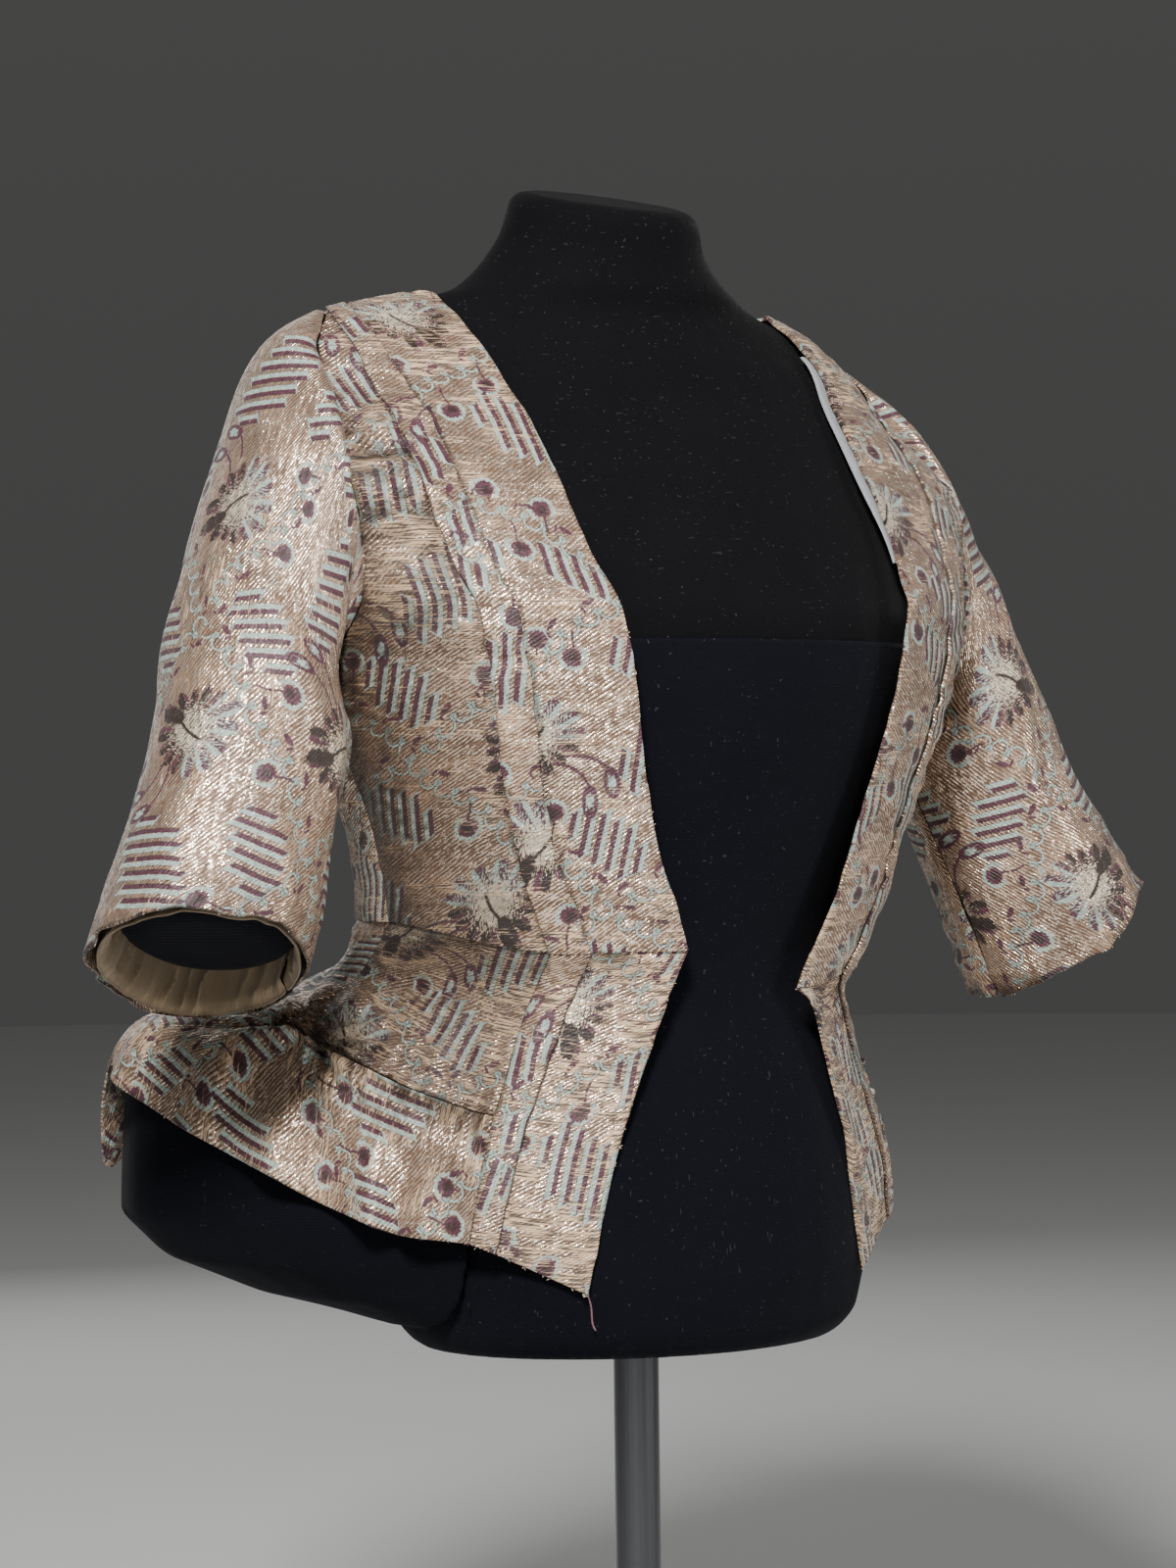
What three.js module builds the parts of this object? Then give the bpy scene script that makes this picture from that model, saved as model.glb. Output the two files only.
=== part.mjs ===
// Brocade bodice, open at the front, on a limbless dress form with a steel stand.
// Millimetres, +Z up. The figure faces -Y and its left side is +X.
// The origin is the centre of the base plate's underside, on the pole's axis.
import * as THREE from 'three';

// ---- driving dimensions --------------------------------------------------------------------------
const CLOTH = 1.6;              // wall of the brocade with its backing
const LINING = 1.1;             // wall of the plain linings
const JERSEY = 1.4;             // wall of the jersey tube on the form
const SEAM = 0.22;              // each cut piece stops this far short of its seam line
const LAID_ON = 0.4;            // air between a panel and what is laid on it
const BAND_WIDTH = 55;          // front band, from the open edge to the robing
const ROBING_WIDTH = 20;        // robing on the bodice
const ROBING_WAIST = 23;        // robing at the waist seam
const ROBING_SHOULDER = 13;     // robing at the shoulder
const LEFT_DROP = 23;           // how much lower the left front's waist corner hangs
const SHOULDER_DROP = 14;       // how far the left shoulder slopes in and down
const SHOULDER_FROM = [126, 750];   // x and level where the slope starts
const SHOULDER_TO = [215, 858];     // and where it is whole
const LINING_SHOWS = 5;         // lining that stands past the left neck edge
const LINING_WIDTH = 17;
const CUFF_LINING_DEPTH = 0.2;  // share of the sleeve's length that its lining covers
const POLE_RADIUS = 12.5;
const BASE_RADIUS = 170;
const BASE_THICKNESS = 10;
const BASE_EDGE = 2.5;
const FORM_BOTTOM = 305;
const FORM_TOP = 930;
const FORM_HALF = 184;          // half of the form's widest ring, at the armholes
const FACE_GAP = 0.3;           // between hard faces that rest on each other

const RIGHT = -1;
const LEFT = 1;
const SIDES = [[RIGHT, 'right'], [LEFT, 'left']];
const QUARTER = Math.PI / 2;
const radians = THREE.MathUtils.degToRad;

// ---- tables: one row for each level, with these columns ------------------------------------------
// level, half width, front y, back y, y of the widest point, power of the oval,
// rise of the ring for each mm towards the back
const RING_COLUMNS = ['level', 'half', 'front', 'back', 'middle', 'power', 'rise'];

const FORM = table(RING_COLUMNS, [
  [305, 112, -84, 98, 8, 2.0, 0],
  [309, 123, -95, 109, 8, 2.0, 0],
  [319, 131, -102, 116, 8, 2.1, 0],
  [350, 139, -106, 122, 8, 2.1, 0],
  [400, 140, -102, 122, 8, 2.1, 0],
  [450, 133, -95, 116, 8, 2.0, 0],
  [490, 122, -90, 106, 7, 2.0, 0],
  [515, 119, -91, 102, 6, 2.0, 0],
  [536, 122, -96, 99, 5, 2.0, 0],
  [560, 130, -103, 97, 3, 2.0, 0],
  [600, 146, -115, 98, 1, 2.0, 0],
  [632, 159, -124, 100, 0, 2.0, 0],
  [665, 169, -130, 102, 0, 2.0, 0],
  [700, 177, -131, 104, 2, 2.0, 0],
  [722, 181, -119, 105, 4, 2.0, 0],
  [747, 184, -104, 105, 6, 2.0, 0],
  [772, 184, -87, 103, 10, 2.0, 0],
  [797, 184, -69, 99, 15, 2.0, 0],
  [821, 183, -51, 92, 25, 1.95, 0],
  [841.2, 180, -42, 86, 33, 1.7, 0],
  [850.6, 176, -37, 85, 35, 1.5, 0],
  [859.6, 169, -34, 84, 36, 1.38, 0],
  [867.5, 147, -32, 83, 34, 1.32, 0],
  [873.6, 117, -33, 82, 30, 1.45, 0],
  [881, 92, -34, 79, 28, 1.8, 0],
  [893, 74, -32, 75, 25, 2.0, 0.1],
  [909, 60, -31, 71, 21, 2.0, 0.2],
  [930, 53, -33, 68, 17.5, 2.0, 0.25],
]);

const BODICE = table(RING_COLUMNS, [
  [480, 128, -103, 136, 12, 2.0, 0],
  [505, 133, -106, 137, 12, 2.0, 0],
  [520, 144, -109.5, 137, 11, 2.0, 0],
  [536, 152, -113.5, 136, 10, 2.0, 0],
  [553, 157, -118.5, 129, 6, 2.0, 0],
  [578, 164, -123, 122, 3, 2.0, 0],
  [600, 173, -127, 118, 1, 2.0, 0],
  [632, 188, -134, 117, 0, 2.0, 0],
  [665, 200, -140, 117, 0, 2.0, 0],
  [700, 212, -141, 117, 2, 2.0, 0],
  [722, 219, -128, 117, 4, 2.0, 0],
  [747, 225, -112, 116, 6, 2.0, 0],
  [772, 230, -94, 114, 10, 2.0, 0],
  [797, 220, -76, 110, 15, 2.0, 0],
  [825, 199, -56, 102, 25, 1.95, 0],
  [845, 192, -46, 94, 33, 1.75, 0],
  [854, 187, -40, 91, 35, 1.55, 0],
  [863, 177, -34, 88, 36, 1.4, 0],
  [871, 152, -26, 87, 34, 1.32, 0],
  [877.5, 120, -21, 85, 30, 1.4, 0],
]);

// half of the front opening, the armholes' distance from the middle and half of the back neck
const OPENING = table(['level', 'half'], [
  [498, 36], [521, 42], [540, 50], [560, 59], [580, 66], [600, 72], [632, 81], [665, 88], [700, 96],
  [722, 102], [747, 105], [797, 107], [825, 111], [845, 114.5], [860, 115], [877, 114],
]);
const ARMHOLE = table(['level', 'half'], [
  [670, 205], [690, 203], [722, 202], [747, 203], [772, 205], [797, 201], [825, 192], [845, 187],
  [866, 172],
]);
const BACK_NECK = table(['level', 'half'], [
  [840, 0], [844, 35], [850, 66], [859, 90], [868, 106], [877, 114],
]);

// the sleeve's sections on the left: its outermost and innermost points,
// half of its depth and how far its front edge is raised (degrees)
const SLEEVE = [
  { outer: [207, 27, 846], inner: [206, -1, 675], depth: 55, raised: 0 },
  { outer: [227, 29, 806], inner: [204.5, 4, 668], depth: 56, raised: 2 },
  { outer: [249, 26, 755], inner: [202.5, 8, 657], depth: 55, raised: 4 },
  { outer: [274, 13, 698], inner: [197.5, 4, 641], depth: 53, raised: 6 },
  { outer: [289, 1, 655], inner: [194, 0, 625], depth: 52, raised: 8 },
];
const FOREARM = {
  right: [
    { outer: [307, -8, 610], inner: [209, -8, 580], depth: 51, raised: 9 },
    { outer: [324, -13, 573], inner: [220, -13, 541], depth: 54, raised: 12 },
    { outer: [341, -17, 538], inner: [231, -17, 505], depth: 57, raised: 25 },
  ],
  left: [
    { outer: [305, -8, 611], inner: [213, -8, 579], depth: 51, raised: 7 },
    { outer: [322, -13, 577], inner: [232, -13, 536], depth: 53, raised: 6 },
    { outer: [337, -16, 549], inner: [254, -17, 485], depth: 56, raised: 5 },
  ],
};

// the skirt of the bodice on the left: rows run from the front edge to the centre back,
// each with the angle of its line at the waist seam, then its points on four rings
const SKIRT = [
  { waist: 16.4, flank: [50, -99, 497], hip: [73, -91, 430], knee: [84, -87, 386], hem: [93, -84, 343] },
  { waist: 39.5, flank: [94, -66, 497], hip: [117, -59, 436], knee: [129, -59, 401], hem: [136, -54, 367] },
  { waist: 49.5, flank: [107, -48, 497], hip: [128, -44, 437], knee: [139, -47, 403], hem: [146, -45, 371] },
  { waist: 58, flank: [117, -33, 499], hip: [141, -23, 444], knee: [153, -22, 408], hem: [161, -21, 373] },
  { waist: 66, flank: [125, -16, 500], hip: [155, -4, 452], knee: [165, -3, 414], hem: [173, -3, 378] },
  { waist: 74, flank: [133, 4, 502], hip: [166, 18, 462], knee: [181, 26, 430], hem: [195, 25, 393] },
  { waist: 82, flank: [141, 30, 504], hip: [176, 46, 473], knee: [200, 58, 447], hem: [215, 60, 411] },
  { waist: 90, flank: [144, 56, 507], hip: [180, 76, 483], knee: [217, 93, 465], hem: [232, 100, 430] },
  { waist: 105, flank: [139, 84, 510], hip: [177, 110, 489], knee: [224, 131, 479], hem: [240, 141, 447] },
  { waist: 120, flank: [121, 107, 512], hip: [160, 143, 491], knee: [211, 166, 482], hem: [229, 176, 457] },
  { waist: 130, flank: [108, 118, 513], hip: [146, 158, 491], knee: [196, 186, 478], hem: [216, 199, 400] },
  { waist: 141, flank: [91, 130, 513], hip: [122, 176, 490], knee: [168, 209, 479], hem: [187, 220, 409] },
  { waist: 154, flank: [62, 144, 513], hip: [85, 190, 489], knee: [120, 230, 478], hem: [135, 243, 413] },
  { waist: 167, flank: [33, 152, 513], hip: [44, 197, 488], knee: [62, 240, 476], hem: [70, 254, 415] },
  { waist: 180, flank: [0, 155, 513], hip: [0, 199, 487], knee: [0, 243, 475], hem: [0, 257, 416] },
];
const LAST_ROW = SKIRT.length - 1;

// folds of the skirt: the row that each is on, its height and how wide it is in rows
const FOLDS = [
  { row: 3.2, height: 3.0, width: 0.35 }, { row: 4.4, height: 4.5, width: 0.4 },
  { row: 5.6, height: 5.0, width: 0.4 }, { row: 6.7, height: 4.0, width: 0.35 },
  { row: 8.0, height: 4.5, width: 0.4 }, { row: 11.4, height: 6.0, width: 0.45 },
  { row: 12.7, height: 6.0, width: 0.45 },
];

// ---- small helpers -------------------------------------------------------------------------------
function table(columns, rows) {
  return Object.fromEntries(columns.map((name, i) => [name, rows.map((row) => row[i])]));
}

// monotone cubic through (xs, ys)
function smooth(xs, ys, x) {
  const last = xs.length - 1;
  const slope = (i) => (ys[i + 1] - ys[i]) / (xs[i + 1] - xs[i]);
  const tangent = (i) => {
    if (i === 0) return slope(0);
    if (i === last) return slope(last - 1);
    const before = slope(i - 1);
    const after = slope(i);
    return before * after <= 0 ? 0 : (2 * before * after) / (before + after);
  };
  const at = Math.min(Math.max(x, xs[0]), xs[last]);
  let i = 0;
  while (i < last - 1 && at > xs[i + 1]) i += 1;
  const step = xs[i + 1] - xs[i];
  const t = (at - xs[i]) / step;
  const t2 = t * t;
  const t3 = t2 * t;
  return (2 * t3 - 3 * t2 + 1) * ys[i] + (t3 - 2 * t2 + t) * step * tangent(i)
    + (3 * t2 - 2 * t3) * ys[i + 1] + (t3 - t2) * step * tangent(i + 1);
}

const column = (rows, name, level) => smooth(rows.level, rows[name], level);
const mix = (a, b, t) => a + (b - a) * t;
const ease = (t) => {
  const c = Math.min(Math.max(t, 0), 1);
  return c * c * (3 - 2 * c);
};
const range = (count) => Array.from({ length: count + 1 }, (_, i) => i / count);

// Catmull-Rom through equally spaced points of a list, which may have functions' results in it
function along(list, t) {
  const i = Math.min(Math.floor(t), list.length - 2);
  const pick = (k) => list[Math.min(Math.max(k, 0), list.length - 1)];
  const f = t - i;
  const [a, b, c, d] = [pick(i - 1), pick(i), pick(i + 1), pick(i + 2)];
  const blend = (p, q, r, s) => q + 0.5 * f * (r - p + f * (2 * p - 5 * q + 4 * r - s
    + f * (3 * (q - r) + s - p)));
  return new THREE.Vector3(blend(a.x, b.x, c.x, d.x), blend(a.y, b.y, c.y, d.y), blend(a.z, b.z, c.z, d.z));
}

// ---- rings of the body ---------------------------------------------------------------------------
function ringPoint(rows, angle, level) {
  const half = column(rows, 'half', level);
  const middle = column(rows, 'middle', level);
  const power = 2 / column(rows, 'power', level);
  const s = Math.sin(angle);
  const c = Math.cos(angle);
  const reach = c >= 0 ? column(rows, 'front', level) - middle : column(rows, 'back', level) - middle;
  const x = half * Math.sign(s) * Math.abs(s) ** power;
  const away = reach * Math.abs(c) ** power;
  return new THREE.Vector3(x, middle + away, level + away * column(rows, 'rise', level));
}

// angle at which a ring's half reaches x, on its front or its back
function angleAt(rows, x, level, atBack = false) {
  const share = Math.min(x / column(rows, 'half', level), 1);
  const angle = Math.asin(share ** (column(rows, 'power', level) / 2));
  return atBack ? Math.PI - angle : angle;
}

// angle that lies a length of cloth further round the ring than another angle
function angleBeyond(start, length, level) {
  const step = 0.01;
  let angle = start;
  let left = length;
  let here = ringPoint(BODICE, angle, level);
  while (left > 0 && angle < Math.PI) {
    const next = ringPoint(BODICE, angle + step, level);
    const piece = here.distanceTo(next);
    if (piece >= left) return angle + step * (left / piece);
    left -= piece;
    angle += step;
    here = next;
  }
  return angle;
}

function surfaceNormal(surface, u, v, du, dv) {
  const across = surface(u + du, v).sub(surface(u - du, v));
  const up = surface(u, v + dv).sub(surface(u, v - dv));
  return across.cross(up).normalize();
}

const mirrored = (side, p) => new THREE.Vector3(p.x * side, p.y, p.z);

// moves a point near the shoulder's tip in towards the neck and down; the right keeps its padded shape
function sloped(side, p) {
  if (side === RIGHT) return p;
  const out = (Math.abs(p.x) - SHOULDER_FROM[0]) / (SHOULDER_TO[0] - SHOULDER_FROM[0]);
  const up = (p.z - SHOULDER_FROM[1]) / (SHOULDER_TO[1] - SHOULDER_FROM[1]);
  const drop = SHOULDER_DROP * ease(out) * ease(up);
  return new THREE.Vector3(p.x - Math.sign(p.x) * drop, p.y, p.z - drop);
}

const centroid = (list) => list.reduce((sum, p) => sum.add(p), new THREE.Vector3()).divideScalar(list.length);

// ---- closed meshes from grids --------------------------------------------------------------------
function closedMesh(points, faces) {
  const position = new Float32Array(points.flatMap((p) => [p.x, p.y, p.z]));
  let volume = 0;
  for (const [a, b, c] of faces) {
    volume += points[a].dot(points[b].clone().cross(points[c]));
  }
  const index = faces.flatMap(([a, b, c]) => (volume > 0 ? [a, b, c] : [a, c, b]));
  const geometry = new THREE.BufferGeometry();
  geometry.setAttribute('position', new THREE.BufferAttribute(position, 3));
  geometry.setIndex(index);
  geometry.computeVertexNormals();
  return geometry;
}

// a wall between two grids of points; a ring's columns close on themselves
function wallMesh(outer, inner, ring = false) {
  const rows = outer.length;
  const cols = outer[0].length;
  const points = [...outer.flat(), ...inner.flat()];
  const at = (layer, j, i) => layer * rows * cols + j * cols + (i % cols);
  const faces = [];
  const quad = (a, b, c, d) => faces.push([a, b, c], [a, c, d]);
  const lastCol = ring ? cols : cols - 1;
  for (let j = 0; j < rows - 1; j += 1) {
    for (let i = 0; i < lastCol; i += 1) {
      quad(at(0, j, i), at(0, j, i + 1), at(0, j + 1, i + 1), at(0, j + 1, i));
      quad(at(1, j, i), at(1, j + 1, i), at(1, j + 1, i + 1), at(1, j, i + 1));
    }
  }
  for (let i = 0; i < lastCol; i += 1) {
    quad(at(0, 0, i), at(1, 0, i), at(1, 0, i + 1), at(0, 0, i + 1));
    quad(at(0, rows - 1, i), at(0, rows - 1, i + 1), at(1, rows - 1, i + 1), at(1, rows - 1, i));
  }
  for (let j = 0; j < rows - 1 && !ring; j += 1) {
    quad(at(0, j, 0), at(0, j + 1, 0), at(1, j + 1, 0), at(1, j, 0));
    quad(at(0, j, cols - 1), at(1, j, cols - 1), at(1, j + 1, cols - 1), at(0, j + 1, cols - 1));
  }
  return closedMesh(points, faces);
}

// a solid through closed loops of points; strips across the first and last loop close it
function loftMesh(loops) {
  const cols = loops[0].length;
  const faces = [];
  for (let j = 0; j < loops.length - 1; j += 1) {
    for (let i = 0; i < cols; i += 1) {
      const a = j * cols + i;
      const b = j * cols + ((i + 1) % cols);
      faces.push([a, b, b + cols], [a, b + cols, a + cols]);
    }
  }
  const lastLoop = (loops.length - 1) * cols;
  for (let a = 0, d = cols - 1; a + 1 < d; a += 1, d -= 1) {
    const strip = [[a, a + 1, d], [a + 1, d - 1, d]].slice(0, d - a > 2 ? 2 : 1);
    strip.forEach(([p, q, r]) => faces.push([q, p, r], [p + lastLoop, q + lastLoop, r + lastLoop]));
  }
  return closedMesh(loops.flat(), faces);
}

// pull a panel's border back from its seam lines
function trimmed(grid) {
  const last = grid.length - 1;
  const end = grid[0].length - 1;
  const pull = (j, i, toJ, toI) => {
    const away = grid[toJ][toI].point.clone().sub(grid[j][i].point);
    const move = away.setLength(Math.min(SEAM, away.length() * 0.3));
    grid[j][i].point.add(move);
  };
  for (let i = 0; i <= end; i += 1) {
    pull(0, i, 1, i);
    pull(last, i, last - 1, i);
  }
  for (let j = 0; j <= last; j += 1) {
    pull(j, 0, j, 1);
    pull(j, end, j, end - 1);
  }
  return grid;
}

// cloth whose outer face lies `lift` beyond the surface; cell(s, t) gives { point, normal }
function clothPanel(cell, across, rows, wall = CLOTH, lift = 0) {
  const grid = trimmed(rows.map((t) => across.map((s) => cell(s, t))));
  const moved = ({ point, normal }, d) => point.clone().addScaledVector(normal, d);
  const shift = (d) => grid.map((row) => row.map((c) => moved(c, d)));
  return wallMesh(shift(lift), shift(lift - wall));
}

// ---- the bodice's panels -------------------------------------------------------------------------
function crossing(low, high) {
  let [a, b] = [low, high];
  const over = (level) => column(BODICE, 'half', level) > column(ARMHOLE, 'half', level);
  const startsOver = over(a);
  for (let k = 0; k < 40; k += 1) {
    const middle = (a + b) / 2;
    if (over(middle) === startsOver) a = middle;
    else b = middle;
  }
  return a;
}
const WAIST_LEVEL = 538;
const DIP_TOP = 600;
const UNDERARM = crossing(670, 700);
const SHOULDER_TIP = crossing(845, 870);
const ARMHOLE_STEPS = 10;       // rows of each half of the armhole
const FRONT_COLUMNS = 4;        // shared by the pieces above and below the waist seam
const SIDE_COLUMNS = 9;
const SHOULDER_SEAM = radians(97);
const NECK_POINT = 876.8;

const armholeLevel = (k) => mix(UNDERARM, SHOULDER_TIP, (1 - Math.cos((Math.PI * k) / ARMHOLE_STEPS)) / 2);
const LEVELS = [
  538, 555, 576, 600, 630, 658,
  ...Array.from({ length: ARMHOLE_STEPS + 1 }, (_, k) => armholeLevel(k)),
  870, NECK_POINT,
];

// the waist seam dips towards the front, and further on the left
function waistLevel(side, angle) {
  const dip = 16 * (1 - ease((angle - radians(42)) / radians(48)));
  const drop = side === LEFT ? LEFT_DROP * (1 - ease((angle - radians(12)) / radians(78))) : 0;
  return WAIST_LEVEL - dip - drop;
}

function bodiceCell(side, angle, row) {
  const share = Math.min(Math.max((DIP_TOP - row) / (DIP_TOP - WAIST_LEVEL), 0), 1);
  const level = row + (waistLevel(side, angle) - WAIST_LEVEL) * share;
  const surface = (a, z) => sloped(side, ringPoint(BODICE, a, z));
  const point = surface(angle, level);
  const normal = surfaceNormal(surface, angle, level, 0.01, 1);
  return { point: mirrored(side, point), normal: mirrored(side, normal) };
}

function openEdge(row) {
  const half = column(OPENING, 'half', row - 16 * ease((DIP_TOP - row) / 62));
  return angleAt(BODICE, half, row);
}

const onShoulder = (angle) => Math.min(angle, SHOULDER_SEAM);
const robingWidth = (row) => (row < DIP_TOP
  ? mix(ROBING_WIDTH, ROBING_WAIST, ease((DIP_TOP - row) / 62))
  : mix(ROBING_WIDTH, ROBING_SHOULDER, ease((row - 800) / 60)));
const robingInner = (row) => onShoulder(angleBeyond(openEdge(row), BAND_WIDTH, row));
const robingOuter = (row) => onShoulder(angleBeyond(openEdge(row), BAND_WIDTH + robingWidth(row), row));
const frontSeam = (row) => onShoulder(angleBeyond(openEdge(row), BAND_WIDTH + robingWidth(row) / 2, row));
const inArmhole = (row) => row >= UNDERARM && row <= SHOULDER_TIP;

function sideOfFront(row) {
  if (row < UNDERARM) return QUARTER;
  return inArmhole(row) ? angleAt(BODICE, column(ARMHOLE, 'half', row), row) : SHOULDER_SEAM;
}

function sideOfBack(row) {
  if (row < UNDERARM) return QUARTER;
  return inArmhole(row) ? angleAt(BODICE, column(ARMHOLE, 'half', row), row, true) : SHOULDER_SEAM;
}

const centreBack = (row) => angleAt(BODICE, column(BACK_NECK, 'half', row), row, true);

function bodicePanel(side, from, to, columns, rows, wall, lift) {
  const cell = (s, row) => bodiceCell(side, mix(from(row), to(row), s), row);
  return clothPanel(cell, range(columns), rows, wall, lift);
}

const rowsBelow = (top) => LEVELS.filter((row) => row <= top + 0.01);
const rowsBetween = (low, high) => LEVELS.filter((row) => row >= low && row <= high);

const frontPanel = (side) => bodicePanel(side, openEdge, frontSeam, FRONT_COLUMNS, LEVELS);
const sideFrontPanel = (side) => bodicePanel(
  side, frontSeam, sideOfFront, SIDE_COLUMNS, rowsBelow(armholeLevel(9)),
);
const backPanel = (side) => bodicePanel(side, sideOfBack, centreBack, 7, LEVELS);
const robingStrip = (side) => bodicePanel(
  side, robingInner, robingOuter, 2, rowsBelow(armholeLevel(9)), CLOTH, LAID_ON + CLOTH,
);

// plain lining that stands a little past the left neck edge, behind the front
function neckLining() {
  const outerEdge = (row) => {
    const edge = openEdge(row);
    const perAngle = ringPoint(BODICE, edge, row).distanceTo(ringPoint(BODICE, edge + 0.01, row)) / 0.01;
    return edge - LINING_SHOWS / perAngle;
  };
  const innerEdge = (row) => angleBeyond(openEdge(row), LINING_WIDTH - LINING_SHOWS, row);
  return bodicePanel(LEFT, outerEdge, innerEdge, 2, rowsBetween(730, 852), LINING, -CLOTH - LAID_ON);
}

// ---- sleeves -------------------------------------------------------------------------------------
const ARMHOLE_POINTS = 2 * ARMHOLE_STEPS;

// the armhole as a loop: from the shoulder tip down the front and up the back
function armholePoint(k) {
  const front = k <= ARMHOLE_STEPS;
  const level = armholeLevel(front ? ARMHOLE_STEPS - k : k - ARMHOLE_STEPS);
  const angle = angleAt(BODICE, column(ARMHOLE, 'half', level), level, !front);
  return ringPoint(BODICE, angle, level);
}

function sleeveSection({ outer, inner, depth, raised }, k, inset = 0) {
  const top = new THREE.Vector3(...outer);
  const low = new THREE.Vector3(...inner);
  const centre = top.clone().add(low).multiplyScalar(0.5);
  const arm = top.sub(centre);
  arm.setLength(arm.length() - inset);
  const tilt = radians(raised);
  const forward = new THREE.Vector3(0, -Math.cos(tilt), Math.sin(tilt)).multiplyScalar(depth - inset);
  const turn = (2 * Math.PI * k) / ARMHOLE_POINTS;
  return centre.addScaledVector(arm, Math.cos(turn)).addScaledVector(forward, Math.sin(turn));
}

const JOIN = new THREE.Vector3(0.9, 0, 0);

function sleevePoint(sideName, k, t) {
  const sections = [...SLEEVE, ...FOREARM[sideName]].map((row) => sleeveSection(row, k));
  const column0 = [armholePoint(k % ARMHOLE_POINTS).add(JOIN), ...sections];
  return along(column0, t * (column0.length - 1));
}

function sleeveTube(side, sideName, from, to, steps, wall, inset) {
  const surface = (k, t) => sloped(side, sleevePoint(sideName, k, t));
  const rows = range(steps).map((r) => mix(from, to, r));
  const grid = rows.map((t) => Array.from({ length: ARMHOLE_POINTS }, (_, k) => {
    const point = surface(k, t);
    const before = (k + ARMHOLE_POINTS - 1) % ARMHOLE_POINTS;
    const around = surface((k + 1) % ARMHOLE_POINTS, t).sub(surface(before, t));
    const down = surface(k, Math.min(t + 0.01, 1)).sub(surface(k, Math.max(t - 0.01, 0)));
    const normal = around.cross(down).normalize();
    return { point, normal };
  }));
  const sample = grid[steps][0];
  const outwards = Math.sign(sample.normal.x);
  const layer = (d) => grid.map((row) => row.map(({ point, normal }) => (
    mirrored(side, point.clone().addScaledVector(normal, -outwards * d)))));
  return wallMesh(layer(inset), layer(inset + wall), true);
}

// a stuffed roll that fills the sleeve from the form's side to a little above the cuff
const PAD_SEAT = FORM_HALF + FACE_GAP;    // its flat end stands against the form
const PAD_THROUGH = 197;                  // where it passes the armhole
const PAD_ENDS = [26, 17];                // how far it stays inside the armhole at these two
const PAD_INSETS = [15, 13, 10, 8.5, 7.5, 7, 7, 7];
const PAD_SHIFTS = [5, 5, 4, 2, 0, 0, 0, 0];   // its underside stands this much further out
const PAD_SECTIONS = [0, 1, 2, 3, 4, 5, 6, 7, 8, 8.5];
const PAD_ROUNDING = 0.3;
const PAD_TIP = new THREE.Vector3(2, -1, -7);

function armPad(side, sideName) {
  const sections = [...SLEEVE, ...FOREARM[sideName]];
  const hole = Array.from({ length: ARMHOLE_POINTS }, (_, k) => armholePoint(k));
  const middle = centroid(hole);
  const inside = (p, x, away) => p.clone().lerp(middle, away / p.distanceTo(middle)).setX(x);
  const rows = sections.map((row, i) => {
    const [x, ...rest] = row.inner;
    return { ...row, inner: [x + PAD_SHIFTS[i], ...rest] };
  });
  const columns = hole.map((p, k) => [
    inside(p, PAD_SEAT, PAD_ENDS[0]),
    inside(p, PAD_THROUGH, PAD_ENDS[1]),
    ...rows.map((row, i) => sleeveSection(row, k, PAD_INSETS[i])),
  ]);
  const loops = PAD_SECTIONS.map((t) => columns.map((points) => along(points, t)));
  const last = loops[loops.length - 1];
  const centre = centroid(last);
  loops.push(last.map((p) => p.clone().lerp(centre, PAD_ROUNDING).add(PAD_TIP)));
  return loftMesh(loops.map((loop) => loop.map((p) => mirrored(side, sloped(side, p)))));
}

// ---- the skirt of the bodice ---------------------------------------------------------------------
const RINGS = ['flank', 'hip', 'knee', 'hem'];
const HEM = RINGS.length;
const YOKE_RING = 2;
const SAG = [0.55, 0.2, 0, 0];  // share of the left drop that each ring still has
const ROW_ANGLES = SKIRT.map((row) => radians(row.waist));
const ROW_NUMBERS = SKIRT.map((_, i) => i);
const RING_POINTS = RINGS.map((name) => SKIRT.map((row) => new THREE.Vector3(...row[name])));

// the angle is that of the line at the waist seam; t runs over the rings, from the seam to the hem
function skirtSmooth(side, angle, t) {
  const at = Math.min(Math.max(angle, ROW_ANGLES[0]), Math.PI);
  const row = smooth(ROW_ANGLES, ROW_NUMBERS, at);
  const seam = waistLevel(side, at);
  const drop = waistLevel(RIGHT, at) - seam;
  const sag = (i) => new THREE.Vector3(0, 0, drop * SAG[i]);
  const rings = RING_POINTS.map((points, i) => along(points, row).sub(sag(i)));
  return along([ringPoint(BODICE, at, seam), ...rings], Math.min(Math.max(t, 0), HEM));
}
const skirtRow = (angle) => smooth(ROW_ANGLES, ROW_NUMBERS, angle);

// the folds grow from nothing at the hip to their full height at the hem
function skirtFold(s, t) {
  const grown = ease((t - YOKE_RING) / (HEM - YOKE_RING));
  return FOLDS.reduce((sum, { row, height, width }) => (
    sum + height * grown * Math.exp(-(((s - row) / width) ** 2))), 0);
}

function skirtCell(side, angle, t) {
  const base = (a, v) => skirtSmooth(side, a, v);
  const normal = surfaceNormal(base, angle, t, 0.01, 0.02).negate();
  const point = base(angle, t).addScaledVector(normal, skirtFold(skirtRow(angle), t));
  return { point: mirrored(side, point), normal: mirrored(side, normal) };
}

const EDGE_ANGLE = openEdge(WAIST_LEVEL);
const ROBING_ANGLES = [robingInner(WAIST_LEVEL), robingOuter(WAIST_LEVEL)];
const FRONT_SEAM_ANGLE = frontSeam(WAIST_LEVEL);
const ROWS_PER_RING = 2;

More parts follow.
